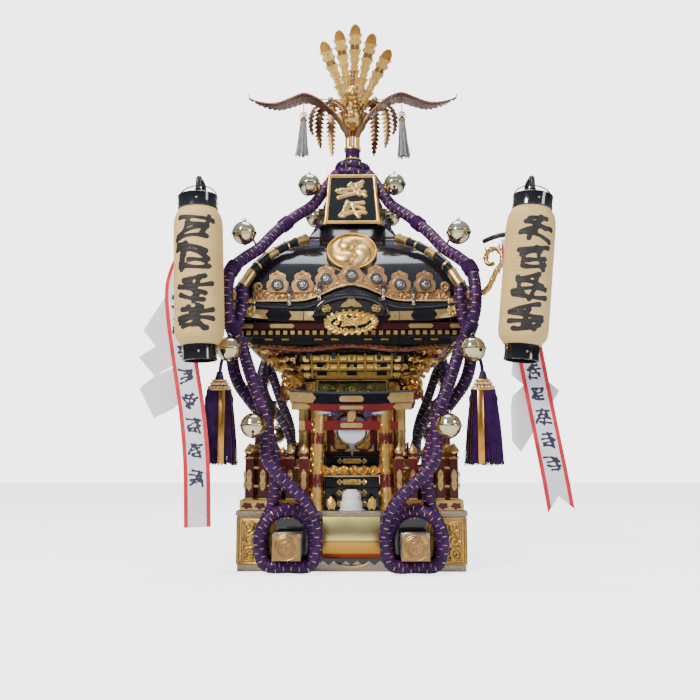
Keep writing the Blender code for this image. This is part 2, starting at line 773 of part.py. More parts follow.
def make_scrolls(finishes):
    """The fern-shaped scroll that rises from each corner of the roof."""
    for side, name in enumerate(("front_right", "back_right", "back_left", "front_left")):
        points = []
        start = (EAVE_HALF + 0.030) * math.sqrt(2)
        stem_z = EAVE_LOW + EAVE_EDGE + EAVE_UPTURN + 0.030
        centre_out = SCROLL_AT * math.sqrt(2)
        points.append((start - 0.002, stem_z - 0.010))
        points.append((start + 0.026, stem_z + 0.006))
        for k in range(11):
            angle = math.radians(-70 + 36 * k)
            radius = SCROLL_RADIUS * (1 - 0.065 * k)
            points.append((centre_out + radius * math.cos(angle), SCROLL_HEIGHT + radius * math.sin(angle)))
        path = [(out / math.sqrt(2), -out / math.sqrt(2), z) for out, z in points]
        scroll = tube(f"corner_scroll_{name}", smooth_line(path, 0.022), 0.0105, finishes["gold"], resolution=1)
        turned_to_side(scroll, side)


# Phoenix

def strip(name, points, widths, thickness, across, finish=None):
    """A flat strip along points, as wide as widths says in the direction across."""
    across = Vector(across).normalized()
    points = [Vector(p) for p in points]
    sections = []
    for k, (point, width) in enumerate(zip(points, widths)):
        along = points[min(k + 1, len(points) - 1)] - points[max(k - 1, 0)]
        normal = along.cross(across).normalized() * thickness / 2
        side = across * width / 2
        sections.append([point - side - normal, point + side - normal, point + side + normal, point - side + normal])
    return loft(name, sections, finish)


WING_LINE = ((0.030, 1.672), (0.062, 1.698), (0.090, 1.724), (0.135, 1.762), (0.190, 1.784), (0.245, 1.768), (0.300, 1.754),
             (0.360, 1.764), (WING_HALF, 1.790))
WING_CHORDS = ((-0.030, 0.030), (-0.030, 0.030), (-0.034, 0.072), (-0.036, 0.095), (-0.034, 0.100), (-0.026, 0.098), (-0.014, 0.090),
               (0.004, 0.078), (0.030, 0.060))


def wing(name, direction, extra=0.0, finish=None):
    """A thin waved wing, its leading edge forward; extra thickens it for a clearance."""
    sections = []
    for index, ((x, z), (front, back)) in enumerate(zip(WING_LINE, WING_CHORDS)):
        half = FEATHER_THICKNESS / 2 + extra
        x -= extra * (index == 0)
        sections.append([
            (direction * x, front - extra, z - half), (direction * x, back + extra, z - 0.006 - half),
            (direction * x, back + extra, z - 0.006 + half), (direction * x, front - extra, z + half),
        ])
    return loft(name, sections, finish)


def make_bird(finishes):
    gold = finishes["gold"]
    spine = smooth_line([(0, 0.080, 1.712), (0, 0.050, 1.700), (0, 0.005, 1.682), (0, -0.030, 1.684),
                         (0, -0.050, 1.712), (0, -0.058, 1.738), (0, -0.072, 1.752), (0, -0.104, 1.746)], 0.016)
    count = len(spine) - 1
    girth = (0.018, 0.038, 0.052, 0.056, 0.050, 0.040, 0.030, 0.026, 0.024, 0.020, 0.004)
    radii = []
    for k in range(count + 1):
        place = k / count * (len(girth) - 1)
        low = min(int(place), len(girth) - 2)
        radii.append(girth[low] + (girth[low + 1] - girth[low]) * (place - low))
    body = tube("phoenix_body", spine, 1.0, resolution=2, radii=radii)
    legs = [tube(f"phoenix_leg_{x}", [(x, 0.0, NECK_TOP + GAP), (x, 0.0, 1.660)], 0.011, resolution=1)
            for x in (-0.016, 0.016)]
    comb = plate("phoenix_comb", ((-0.004, 1.752), (0.004, 1.752), (0.024, 1.790), (0.012, 1.798), (0, 1.802),
                                  (-0.012, 1.798), (-0.024, 1.790)), 0.004, None,
                 Matrix.Translation((0, -0.066, 0)) @ Matrix.Rotation(math.pi / 2, 4, "X"))
    body = fused("phoenix_body", [body, *legs, comb], gold)
    cutters = []
    for name, direction in (("left", -1), ("right", 1)):
        wing(f"phoenix_wing_{name}", direction, 0.0, gold)
        cutters.append(wing(f"wing_clearance_{name}", direction, 5 * GAP))
    cutters.append(turned("tail_clearance", ((0.0, 0.0), (0.022, 0.002), (0.022, 0.058), (0.0, 0.060)), 12,
                          at=(0, 0.092, 1.690)))
    boolean(body, cutters, "DIFFERENCE")
    make_tail(gold)


def feather_outline(length, lobes=3):
    """An upright feather with saw-toothed sides and a spade-shaped tip, from its root at (0, 0)."""
    right = [(0.004, 0.0)]
    for k in range(lobes):
        y = length * (0.12 + 0.70 * k / lobes)
        wide = 0.012 + 0.014 * math.sin(math.pi * (k + 1) / (lobes + 1))
        right += [(wide * 0.62, y), (wide, y + length * 0.70 / lobes * 0.9)]
    right += [(0.012, length * 0.82), (0.027, length * 0.89), (0.020, length * 0.955)]
    return right + [(0.0, length)] + [(-x, y) for x, y in reversed(right)]


def make_tail(finish):
    """Five upright feathers and six that droop, on one socket behind the body."""
    hub = turned("phoenix_tail", ((0.016, 1.692), (0.0215, 1.698), (0.0215, 1.740), (0.012, 1.749)), 12,
                 at=(0, 0.092, 0))
    blades = []
    for k, (degrees, short) in enumerate(((-20.0, 0.058), (-8.5, 0.024), (1.6, 0.0), (12.3, 0.030), (26.0, 0.072))):
        length = BIRD_HEIGHT - 1.720 - short
        blades.append(plate(f"tail_feather_{k}", feather_outline(length), FEATHER_THICKNESS, None,
                            Matrix.Translation((0, 0.084 + 0.0045 * k, 1.720))
                            @ Matrix.Rotation(math.radians(degrees), 4, "Y")
                            @ Matrix.Rotation(math.pi / 2, 4, "X")))
    for direction in (-1, 1):
        for k, (out, back, end) in enumerate(((0.086, 0.150, 1.600), (0.135, 0.165, 1.640), (0.166, 0.150, 1.690))):
            line = smooth_line([(direction * (0.002 + 0.005 * k), 0.092, 1.726 + 0.006 * k), (direction * out * 0.45, 0.115, 1.812),
                                (direction * out * 0.85, back - 0.012, 1.824 - 0.006 * k), (direction * out * 1.02, back, 1.778),
                                (direction * out * 1.05, back + 0.004, (1.755 + end) / 2),
                                (direction * out, back, end)], 0.030)
            widths = [0.014 + 0.023 * math.sin(math.pi * min(1.0, 1.15 * i / (len(line) - 1))) ** 0.7
                      if i < len(line) - 1 else 0.006 for i in range(len(line))]
            across = (1.0, 0.0, 0.0) if k < 2 else (0.75, 0.65 * direction, 0.0)
            blades.append(strip(f"tail_droop_{direction}_{k}", line, widths, FEATHER_THICKNESS, across))
    fused("phoenix_tail", [hub, *blades], finish)


# Cords, bells, tassels

# One corner's cord, for the front left: from the post down along the ridge, round the eave's corner, down to a
# double loop round the pole end, and back up beside itself to the eave
CORD_ROUTE = (
    (-0.062, -0.066, 1.440), (-0.099, -0.120, 1.369), (-0.143, -0.180, 1.284), (-0.204, -0.240, 1.221),
    (-0.267, -0.310, 1.143), (-0.311, -0.370, 1.073), (-0.353, -0.430, 1.024), (-0.389, -0.474, 0.974),
    (-0.400, -0.496, 0.903), (-0.395, -0.504, 0.829), (-0.380, -0.484, 0.775), (-0.356, -0.456, 0.725),
    (-0.334, -0.458, 0.660), (-0.312, -0.466, 0.596), (-0.288, -0.470, 0.535), (-0.273, -0.468, 0.478),
    (-0.270, -0.466, 0.421), (-0.266, -0.472, 0.365), (-0.232, -0.476, 0.314), (-0.180, -0.476, 0.266),
    (-0.133, -0.474, 0.210), (-0.110, -0.470, 0.147), (-0.112, -0.462, 0.080), (-0.130, -0.458, 0.030),
    (-0.200, -0.452, 0.026), (-0.268, -0.450, 0.030), (-0.287, -0.450, 0.080), (-0.283, -0.450, 0.140),
    (-0.250, -0.444, 0.184), (-0.198, -0.424, 0.196), (-0.150, -0.407, 0.174), (-0.122, -0.404, 0.120),
    (-0.122, -0.404, 0.062), (-0.140, -0.404, 0.028), (-0.200, -0.404, 0.026), (-0.266, -0.404, 0.030),
    (-0.284, -0.404, 0.080), (-0.280, -0.404, 0.150), (-0.256, -0.405, 0.205), (-0.246, -0.408, 0.262),
    (-0.246, -0.414, 0.342), (-0.262, -0.416, 0.422), (-0.294, -0.417, 0.502), (-0.334, -0.418, 0.556),
    (-0.368, -0.418, 0.604), (-0.388, -0.410, 0.660), (-0.394, -0.404, 0.722), (-0.384, -0.426, 0.772),
    (-0.368, -0.450, 0.815), (-0.358, -0.450, 0.865), (-0.358, -0.446, 0.920),
)


def make_cords(finish):
    for name, sx, sy in (("front_left", 1, 1), ("front_right", -1, 1), ("back_right", -1, -1), ("back_left", 1, -1)):
        tube(f"cord_{name}", [(x * sx, y * sy, z) for x, y, z in CORD_ROUTE], CORD_DIAMETER / 2, finish)


def make_bells(finish):
    """Round bells with a raised seam at the middle, two over each front ridge and two lower on each cord."""
    r = BELL_RADIUS
    lower = [(r * math.cos(math.radians(a)), r * math.sin(math.radians(a))) for a in (-52, -14)]
    upper = [(r * math.cos(math.radians(a)), r * math.sin(math.radians(a))) for a in (14, 52)]
    seam = [(r * 1.07, -0.003), (r * 1.07, 0.003)]
    profile = [(0.0, -r), *lower, *seam, *upper, (0.0, r)]
    for place, at in (("upper", (0.155, -0.205, 1.352)), ("ridge", (0.360, -0.413, 1.114)),
                      ("eave", (0.386, -0.518, 0.706)), ("low", (0.304, -0.530, 0.464))):
        for name, direction in (("left", -1), ("right", 1)):
            turned(f"bell_{place}_{name}", profile, 12, finish, at=(direction * at[0], at[1], at[2]))


def oval_loft(name, rows, finish, at=(0, 0, 0), sides=12):
    """A solid through ovals of (half width, half depth, height)."""
    made = loft(name, [
        [(wide * math.cos(2 * math.pi * k / sides), deep * math.sin(2 * math.pi * k / sides), z)
         for k in range(sides)] for wide, deep, z in rows
    ], finish)
    made.location = at
    return made


def make_tassels(finish):
    half = TASSEL_WIDTH / 2
    for name, direction in (("left", -1), ("right", 1)):
        oval_loft(f"tassel_{name}", (
            (half * 1.22, 0.012, 0.0), (half * 1.05, 0.012, 0.10), (half * 0.86, 0.013, 0.175),
            (half * 0.90, 0.015, 0.215), (half * 0.62, 0.016, 0.250), (half * 0.28, 0.014, 0.275),
            (0.010, 0.010, 0.262 + 0.035),
        ), finish, at=(direction * 0.4175, -0.500, 0.340))


# Lanterns

def make_lanterns(finishes):
    for name, foot, top in (("left", (-0.461, 0.659), (-0.480, 1.179)), ("right", (0.520, 0.657), (0.571, 1.174))):
        tilt = math.atan2(top[0] - foot[0], top[1] - foot[1])
        place = Matrix.Translation((foot[0], -0.600, foot[1])) @ Matrix.Rotation(tilt, 4, "Y")
        r, wall = LANTERN_RADIUS, LANTERN_WALL
        low, high = 0.048 + GAP, 0.478 - GAP
        outer = ((0.050, low), (r * 0.90, low + 0.012), (r, low + 0.035), (r, high - 0.050),
                 (r * 0.93, high - 0.018), (0.057, high))
        inner = tuple((radius - wall, height) for radius, height in reversed(outer))
        paper = turned(f"lantern_paper_{name}", outer + inner, 16, finishes["paper"], closed=True)
        paper.matrix_basis = place
        for part, radius, start, end in (("bottom", 0.053, 0.0, 0.048), ("top", RING_RADIUS, 0.478, 0.522)):
            ring = turned(f"lantern_{part}_{name}", ((radius, start), (radius, end), (radius - 0.006, end),
                                                     (radius - 0.006, start)), 16, closed=True)
            ring.matrix_basis = place
            if part == "bottom":
                ring.data.materials.append(finishes["black"])
                continue
            bridge = box(f"lantern_bridge_{name}", (-radius + 0.003, -0.010, end - 0.012),
                         (radius - 0.003, 0.010, end))
            bridge.matrix_basis = place @ bridge.matrix_basis
            fused(f"lantern_{part}_{name}", [ring, bridge], finishes["black"])
        side = -1 if foot[0] < 0 else 1
        x, z = top
        tube(f"lantern_hanger_{name}", [
            (side * 0.440, -0.440, 1.0752), (side * 0.470, -0.500, 1.0752), (x - 0.002 * side, -0.508, 1.105),
            (x, -0.508, z + 0.052), (x, -0.526, z + 0.068), (x, -0.588, z + 0.068), (x, -0.600, z + 0.056),
            (x, -0.600, z + 0.0045),
        ], BAR_RADIUS, finishes["black"], resolution=1)


# Streamers and ribbons

STREAMER_LEFT = ((-0.484, 1.064), (-0.466, 1.064), (-0.560, 0.760), (-0.575, 0.752), (-0.536, 0.672),
                 (-0.536, 0.662), (-0.494, 0.606), (-0.557, 0.521), (-0.623, 0.489), (-0.670, 0.583),
                 (-0.623, 0.622), (-0.676, 0.683), (-0.623, 0.717), (-0.664, 0.770), (-0.604, 0.867))
STREAMER_RIGHT = ((0.484, 1.064), (0.502, 1.064), (0.572, 0.700), (0.594, 0.699), (0.618, 0.606),
                  (0.656, 0.574), (0.620, 0.518), (0.531, 0.383), (0.504, 0.417), (0.503, 0.525),
                  (0.508, 0.558), (0.546, 0.592), (0.507, 0.624), (0.514, 0.696), (0.532, 0.700))


def make_streamers(finishes):
    for name, outline in (("left", STREAMER_LEFT), ("right", STREAMER_RIGHT)):
        plate(f"paper_streamer_{name}", outline, PAPER_THICKNESS, finishes["paper"],
              Matrix.Translation((0, -0.5045, 0)) @ Matrix.Rotation(math.pi / 2, 4, "X"))
    wide = RIBBON_WIDTH
    for name, line in (
        ("left", ((-0.494, -0.514, 1.058), (-0.540, -0.514, 0.990), (-0.556, -0.514, 0.900), (-0.548, -0.514, 0.800),
                  (-0.525, -0.515, 0.660), (-0.495, -0.530, 0.500), (-0.475, -0.548, 0.350), (-0.466, -0.556, 0.155))),
        ("right", ((0.505, -0.514, 1.050), (0.530, -0.514, 0.900), (0.556, -0.514, 0.750), (0.580, -0.520, 0.600),
                   (0.602, -0.538, 0.450), (0.625, -0.550, 0.300), (0.638, -0.555, 0.205))),
    ):
        points = smooth_line(line, 0.05)
        widths = [wide * min(1.0, 0.5 + 3 * k / len(points)) for k in range(len(points))]
        strip(f"ribbon_{name}", points, widths, PAPER_THICKNESS, (1, 0, 0), finishes["ribbon"])


def main():
    global PARTS, HELPERS
    clear_scene()
    PARTS = new_collection("mikoshi_shrine")
    HELPERS = new_collection("cutters", hidden=True)
    finishes = {
        "silver": material("silver_plate", (0.72, 0.72, 0.70), 0.28, 1.0),
        "black": material("black_lacquer", (0.012, 0.012, 0.014), 0.12),
        "pole_metal": material("pole_metal", (0.48, 0.40, 0.33), 0.38, 1.0),
        "brass": material("polished_brass", (0.83, 0.64, 0.38), 0.16, 1.0),
        "red": material("dark_red_lacquer", (0.20, 0.025, 0.030), 0.25),
        "gold": material("gilt_metal", (0.80, 0.58, 0.27), 0.30, 1.0),
        "porcelain": material("white_offering", (0.85, 0.84, 0.80), 0.45),
        "cord": material("purple_cord", (0.10, 0.015, 0.22), 0.65),
        "bell": material("bell_brass", (0.78, 0.74, 0.62), 0.12, 1.0),
        "paper": material("lantern_paper", (0.85, 0.74, 0.55), 0.80),
        "ribbon": material("white_ribbon", (0.86, 0.84, 0.88), 0.60),
    }
    make_base(finishes)
    make_fences(finishes)
    make_front_gate(finishes)
    make_podium(finishes)
    make_hall(finishes)
    make_mirror(finishes)
    make_offering(finishes["porcelain"])
    make_frieze(finishes["gold"])
    make_brackets(finishes["gold"])
    make_eaves(finishes["red"])
    make_roof(finishes["black"])
    make_scrolls(finishes)
    make_crown(finishes)
    make_plaque(finishes["black"])
    make_bird(finishes)
    make_cords(finishes["cord"])
    make_bells(finishes["bell"])
    make_tassels(finishes["cord"])
    make_lanterns(finishes)
    make_streamers(finishes)


main()
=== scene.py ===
"""Looks of the mikoshi, the portable shrine: every finish, the chased and carved metalwork, the plaited cords
with bells, fringed tassels, painted paper lanterns, paper streamers and ribbons. Metres, front towards -Y.
"""
import random
from math import atan2, cos, degrees, hypot, log, pi, radians, sin, sqrt

import bmesh
import bpy
import numpy as np
from mathutils import Matrix, Vector


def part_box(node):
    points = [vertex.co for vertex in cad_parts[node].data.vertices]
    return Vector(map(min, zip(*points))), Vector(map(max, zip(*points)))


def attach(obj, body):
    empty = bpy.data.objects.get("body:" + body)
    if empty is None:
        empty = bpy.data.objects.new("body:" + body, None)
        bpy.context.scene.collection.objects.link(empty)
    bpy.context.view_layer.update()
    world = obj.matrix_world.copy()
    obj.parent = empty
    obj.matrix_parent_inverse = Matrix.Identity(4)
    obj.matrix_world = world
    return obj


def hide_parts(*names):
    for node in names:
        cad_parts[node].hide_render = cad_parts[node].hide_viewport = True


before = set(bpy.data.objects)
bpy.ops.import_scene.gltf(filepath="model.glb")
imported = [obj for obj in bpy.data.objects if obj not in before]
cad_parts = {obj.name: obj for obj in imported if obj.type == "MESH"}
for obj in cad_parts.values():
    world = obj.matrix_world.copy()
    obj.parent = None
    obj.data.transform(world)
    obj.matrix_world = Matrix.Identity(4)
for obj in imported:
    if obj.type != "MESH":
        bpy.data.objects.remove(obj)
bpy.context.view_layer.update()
TAU = 2 * pi


# Camera, floor, light

LENS, CAMERA_AT, CAMERA_TILT, CAMERA_TURN = 42.02, (0.035, -3.08, 0.3654), 97.5, 0.84
BACKDROP_GLOW, FLOOR_GLOW = 4.0, 2.6


def aim(obj, target):
    obj.rotation_euler = (Vector(target) - obj.location).to_track_quat("-Z", "Y").to_euler()


def area(name, at, target, size, watts, color=(1, 1, 1)):
    lamp = bpy.data.lights.new(name, "AREA")
    lamp.shape, lamp.size, lamp.size_y = "RECTANGLE", size[0], size[1]
    lamp.energy, lamp.color = watts, color
    obj = bpy.data.objects.new(name, lamp)
    obj.location = at
    aim(obj, target)
    bpy.context.scene.collection.objects.link(obj)


def add(tree, kind, inputs=None, feeds=None, **settings):
    """A shader node. inputs sets values and feeds joins sockets, both by an input's name or number."""
    made = tree.nodes.new("ShaderNode" + kind)
    for key, value in settings.items():
        setattr(made, key, value)
    for key, value in (inputs or {}).items():
        made.inputs[key].default_value = value
    for key, source in (feeds or {}).items():
        tree.links.new(source, made.inputs[key])
    return made


def shades(tree, source, *stops):
    """The colour output of a ramp with these (position, colour) stops."""
    made = add(tree, "ValToRGB", feeds={0: source})
    elements = made.color_ramp.elements
    for k, (where, color) in enumerate(stops):
        stop = elements[k] if k < 2 else elements.new(where)
        stop.position, stop.color = where, (*color, 1)
    return made.outputs[0]


def make_stage():
    camera = bpy.data.cameras.new("camera")
    camera.sensor_width, camera.lens, camera.clip_end = 36.0, LENS, 50.0
    eye = bpy.data.objects.new("camera", camera)
    eye.location = CAMERA_AT
    eye.rotation_euler = (radians(CAMERA_TILT), 0, radians(CAMERA_TURN))
    bpy.context.scene.collection.objects.link(eye)
    bpy.context.scene.camera = eye
    area("key", (-1.9, -3.0, 3.3), (0, 0, 0.8), (0.9, 0.9), 190, (1.0, 0.96, 0.89))
    area("fill", (3.1, -2.4, 1.9), (0, 0, 0.8), (0.8, 1.8), 60, (0.92, 0.96, 1.0))
    area("top", (0, 0.2, 4.0), (0, 0, 1.0), (1.8, 1.8), 60, (0.94, 0.97, 1.0))
    area("back", (0.5, 3.6, 2.4), (0, 0, 1.0), (2.4, 1.6), 34)
    world = bpy.data.worlds.new("studio")
    bpy.context.scene.world = world
    world.use_nodes = True
    tree = world.node_tree
    back = tree.nodes["Background"]
    place = add(tree, "TexCoord")
    split = add(tree, "SeparateXYZ", feeds={0: place.outputs["Generated"]})
    lift = add(tree, "Math", {1: 0.5, 2: 0.5}, {0: split.outputs[2]}, operation="MULTIPLY_ADD")
    sky = shades(tree, lift.outputs[0], (0.4, (0.07, 0.065, 0.06)), (0.497, (0.045, 0.042, 0.04)),
                 (0.52, (0.02, 0.02, 0.024)), (0.6, (0.1, 0.12, 0.15)), (0.74, (0.26, 0.32, 0.42)),
                 (1.0, (0.45, 0.52, 0.64)))
    tree.links.new(sky, back.inputs[0])
    back.inputs[1].default_value = 1.0
    shown = add(tree, "Background", {0: (1, 1, 1, 1), 1: BACKDROP_GLOW})
    seen = add(tree, "LightPath").outputs["Is Camera Ray"]
    mix = add(tree, "MixShader", feeds={0: seen, 1: back.outputs[0], 2: shown.outputs[0]})
    tree.links.new(mix.outputs[0], tree.nodes["World Output"].inputs[0])
    floor = bpy.data.meshes.new("floor")
    floor.from_pydata([(-9, -9, 0), (9, -9, 0), (9, 9, 0), (-9, 9, 0)], [], [(0, 1, 2, 3)])
    ground = bpy.data.objects.new("floor", floor)
    bpy.context.scene.collection.objects.link(ground)
    ground.location.z = -0.0005
    shade = finish("floor_paint", (0.92, 0.92, 0.92), 0.8)
    tree = shade.node_tree
    shader = tree.nodes["Principled BSDF"]
    shader.inputs["Emission Color"].default_value = (1, 1, 1, 1)
    gain = add(tree, "Math", {1: FLOOR_GLOW}, {0: add(tree, "LightPath").outputs["Is Camera Ray"]},
               operation="MULTIPLY")
    tree.links.new(gain.outputs[0], shader.inputs["Emission Strength"])
    floor.materials.append(shade)


# Materials

def finish(name, color, rough, metal=0.0, coat=0.0, second=None, vary=6.0, bump=0.0, grain=300.0, hollow_shade=None,
           sheen=0.0, rough_vary=0.0, spec=None):
    """A surface with colour patches, uneven gloss, a fine bump, and painted shade that darkens its hollows.
    """
    made = bpy.data.materials.new(name)
    made.use_nodes = True
    made.diffuse_color = (*color, 1)
    tree = made.node_tree
    shader = tree.nodes["Principled BSDF"]
    values = {"Base Color": (*color, 1), "Roughness": rough, "Metallic": metal}
    if coat:
        values |= {"Coat Weight": coat, "Coat Roughness": 0.06}
    if sheen:
        values |= {"Sheen Weight": sheen, "Sheen Roughness": 0.4}
    if spec is not None:
        values["Specular IOR Level"] = spec
    for key, value in values.items():
        shader.inputs[key].default_value = value
    place = add(tree, "TexCoord")

    def noise(scale, detail=4.0):
        values = {"Scale": scale, "Detail": detail}
        return add(tree, "TexNoise", values, {"Vector": place.outputs["Object"]}).outputs["Fac"]

    tone = None
    if second:
        tone = shades(tree, noise(vary), (0.38, color), (0.66, second))
    # Hollows take the darker colour given for them, found through Pointiness: painted shade, standing in for
    # the shade that falls in carved recesses.
    if hollow_shade:
        shape = add(tree, "NewGeometry")
        shade_mask = shades(tree, shape.outputs["Pointiness"], (0.4, (1, 1, 1)), (0.5, (0, 0, 0)))
        mix = add(tree, "Mix", {6: (*color, 1), 7: (*hollow_shade, 1)}, {0: shade_mask}, data_type="RGBA")
        if tone:
            tree.links.new(tone, mix.inputs[6])
        tone = mix.outputs[2]
    if tone:
        tree.links.new(tone, shader.inputs["Base Color"])
    if rough_vary:
        ends = {3: max(0.02, rough - rough_vary), 4: rough + rough_vary}
        span = add(tree, "MapRange", ends, {0: noise(vary * 3)})
        tree.links.new(span.outputs[0], shader.inputs["Roughness"])
    if bump:
        push = add(tree, "Bump", {"Strength": bump, "Distance": 0.001}, {"Height": noise(grain, 3.0)})
        tree.links.new(push.outputs[0], shader.inputs["Normal"])
    return made


MAT = {}


def make_finishes():
    # The colours given for hollows below are painted shade that darkens each finish's carved hollows.
    MAT.update(
        gold=finish("gilt", (0.86, 0.54, 0.16), 0.36, 1.0, second=(0.7, 0.4, 0.1), vary=22, bump=0.35,
                    grain=420,
                    hollow_shade=(0.16, 0.075, 0.02), rough_vary=0.09),
        gold_plain=finish("gilt_plain", (0.92, 0.62, 0.25), 0.37, 1.0, second=(0.78, 0.5, 0.16), vary=30,
                          rough_vary=0.06),
        gold_light=finish("gilt_light", (0.88, 0.6, 0.17), 0.36, 1.0, second=(0.76, 0.48, 0.11), vary=25,
                          bump=0.2, grain=500, rough_vary=0.06),
        copper_gold=finish("copper_gilt", (0.52, 0.3, 0.135), 0.45, 1.0, second=(0.42, 0.225, 0.095), vary=26,
                           bump=0.35, grain=380, hollow_shade=(0.12, 0.045, 0.02), rough_vary=0.1),
        amber=finish("amber_gilt", (0.74, 0.36, 0.07), 0.3, 1.0, second=(0.56, 0.24, 0.04), vary=30, bump=0.3,
                     grain=380, rough_vary=0.08),
        green_gold=finish("green_gilt", (0.62, 0.5, 0.17), 0.34, 0.95, second=(0.2, 0.26, 0.09), vary=30,
                          bump=0.3, grain=400, hollow_shade=(0.06, 0.05, 0.02), rough_vary=0.1),
        brown=finish("carved_brown", (0.3, 0.1, 0.045), 0.42, 0.45, second=(0.17, 0.055, 0.028), vary=24,
                     bump=0.4,
                     grain=350, hollow_shade=(0.05, 0.02, 0.008), rough_vary=0.1),
        bronze=finish("dark_bronze", (0.34, 0.17, 0.075), 0.36, 0.85, second=(0.2, 0.1, 0.05), vary=24,
                      bump=0.4,
                      grain=320, hollow_shade=(0.03, 0.015, 0.01), rough_vary=0.1),
        wing=finish("wing_copper", (0.38, 0.19, 0.11), 0.36, 0.9, second=(0.24, 0.115, 0.065), vary=18,
                    bump=0.4,
                    grain=260, rough_vary=0.1),
        black=finish("black_lacquer", (0.008, 0.008, 0.01), 0.13, 0.0, coat=0.6, second=(0.014, 0.013, 0.016),
                     vary=5, rough_vary=0.05),
        black_satin=finish("black_satin", (0.012, 0.012, 0.013), 0.34, 0.0, second=(0.022, 0.02, 0.02),
                           vary=14,
                           bump=0.1, grain=160, rough_vary=0.08),
        red=finish("dark_red_lacquer", (0.125, 0.006, 0.008), 0.3, 0.0, coat=0.15,
                   second=(0.085, 0.005, 0.007),
                   vary=9, rough_vary=0.06),
        # A darker copy of the red lacquer: painted shade, for the board under the eaves.
        red_deep=finish("red_lacquer_painted_shade", (0.04, 0.003, 0.004), 0.3, 0.0, coat=0.15,
                        second=(0.028, 0.003, 0.004),
                        vary=9, rough_vary=0.05),
        red_bright=finish("red_lacquer", (0.175, 0.01, 0.011), 0.3, 0.0, coat=0.15,
                          second=(0.125, 0.007, 0.009),
                          vary=9, rough_vary=0.05),
        silver=finish("silver_plate", (0.45, 0.395, 0.33), 0.28, 1.0, second=(0.39, 0.34, 0.28), vary=9,
                      bump=0.01, grain=300, rough_vary=0.1),
        pole=finish("pole_metal", (0.52, 0.47, 0.43), 0.34, 1.0, second=(0.38, 0.32, 0.28), vary=14,
                    bump=0.25,
                    grain=260, rough_vary=0.1),
        grey_blue=finish("grey_blue_iron", (0.07, 0.08, 0.092), 0.42, 0.2, second=(0.045, 0.052, 0.062),
                         vary=20,
                         rough_vary=0.1),
        bell=finish("bell_metal", (0.8, 0.71, 0.47), 0.13, 1.0, second=(0.66, 0.55, 0.32), vary=10,
                    rough_vary=0.05),
        porcelain=finish("white_glaze", (0.86, 0.85, 0.82), 0.38, 0.0, second=(0.8, 0.79, 0.75), vary=30,
                         bump=0.15, grain=120),
        cord=finish("purple_silk", (0.052, 0.003, 0.085), 0.44, 0.0, second=(0.016, 0.003, 0.042),
                    vary=40, bump=0.5, grain=700, spec=0.3),
        # A darker purple silk: painted shade on the back cords and in the braids' grooves, and the colour of
        # the darker threads, thread ends and core of the tassels.
        cord_dark=finish("purple_silk_shade_and_dark_thread", (0.018, 0.004, 0.046), 0.55, 0.0, sheen=0.1,
                         second=(0.01, 0.003, 0.026),
                         vary=40, bump=0.5, grain=600),
        fleck=finish("gold_thread", (0.86, 0.46, 0.18), 0.36, 0.5, second=(0.78, 0.34, 0.2), vary=60),
        pink=finish("pink_thread", (0.66, 0.22, 0.42), 0.55, 0.0, second=(0.8, 0.5, 0.3), vary=90),
        lavender=finish("lavender_cloth", (0.38, 0.33, 0.62), 0.6, 0.0, sheen=0.3, second=(0.5, 0.46, 0.72),
                        vary=50, bump=0.4, grain=800),
        tassel_grey=finish("silver_thread", (0.44, 0.45, 0.47), 0.5, 0.2, second=(0.3, 0.31, 0.33), vary=80,
                           bump=0.3, grain=700),
        white=finish("white_paper", (0.95, 0.95, 0.95), 0.7, 0.0, second=(0.9, 0.9, 0.92), vary=12, bump=0.15,
                     grain=240),
        red_cloth=finish("red_edge", (0.8, 0.012, 0.035), 0.6, 0.0, second=(0.52, 0.02, 0.03), vary=20),
        iron=finish("black_iron", (0.018, 0.02, 0.022), 0.36, 0.3, second=(0.035, 0.036, 0.04), vary=30,
                    bump=0.15, grain=200, rough_vary=0.1),
        mirror=finish("polished_silver", (0.66, 0.66, 0.68), 0.2, 1.0, second=(0.56, 0.56, 0.58), vary=8),
        dark=finish("deep_shadow", (0.004, 0.004, 0.004), 0.8),
    )
    # The apron brass is coloured in bands up its height, read from Object Z: painted reflections. A dark
    # red-brown foot stands for a reflected floor, gold-brown and brown bands fill the middle, and bright pale
    # bands near the top are painted highlights.
    brass = finish("polished_brass", (0.95, 0.78, 0.4), 0.3, 1.0)
    tree = brass.node_tree
    split = add(tree, "SeparateXYZ", feeds={0: add(tree, "TexCoord").outputs["Object"]})
    span = add(tree, "MapRange", {1: 0.045, 2: 0.165}, {0: split.outputs[2]})
    tone = shades(tree, span.outputs[0], (0.0, (0.3, 0.055, 0.02)), (1.0, (0.99, 0.82, 0.28)),
                  (0.09, (0.3, 0.055, 0.02)), (0.13, (0.62, 0.32, 0.05)), (0.38, (0.68, 0.38, 0.09)),
                  (0.44, (0.4, 0.24, 0.05)), (0.48, (0.98, 0.8, 0.28)), (0.56, (0.84, 0.68, 0.29)))
    tree.links.new(tone, tree.nodes["Principled BSDF"].inputs["Base Color"])
    MAT["brass"] = brass


# Mesh building

HERE = Matrix.Identity(4)


def turn(side):
    return Matrix.Rotation(side * pi / 2, 4, "Z")


def at(x, y, z, rx=0.0, ry=0.0, rz=0.0, scale=1.0):
    """A placing matrix from a point, turns in degrees and a scale."""
    made = Matrix.Translation((x, y, z)) @ Matrix.Rotation(radians(rz), 4, "Z")
    made = made @ Matrix.Rotation(radians(ry), 4, "Y") @ Matrix.Rotation(radians(rx), 4, "X")
    return made @ (Matrix.Diagonal((*scale, 1)) if isinstance(scale, tuple) else Matrix.Scale(scale, 4))


def bands(rings, sides):
    """Faces between closed rings of as many points each."""
    return [(i * sides + k, i * sides + (k + 1) % sides, (i + 1) * sides + (k + 1) % sides,
             (i + 1) * sides + k)
            for i in range(rings - 1) for k in range(sides)]


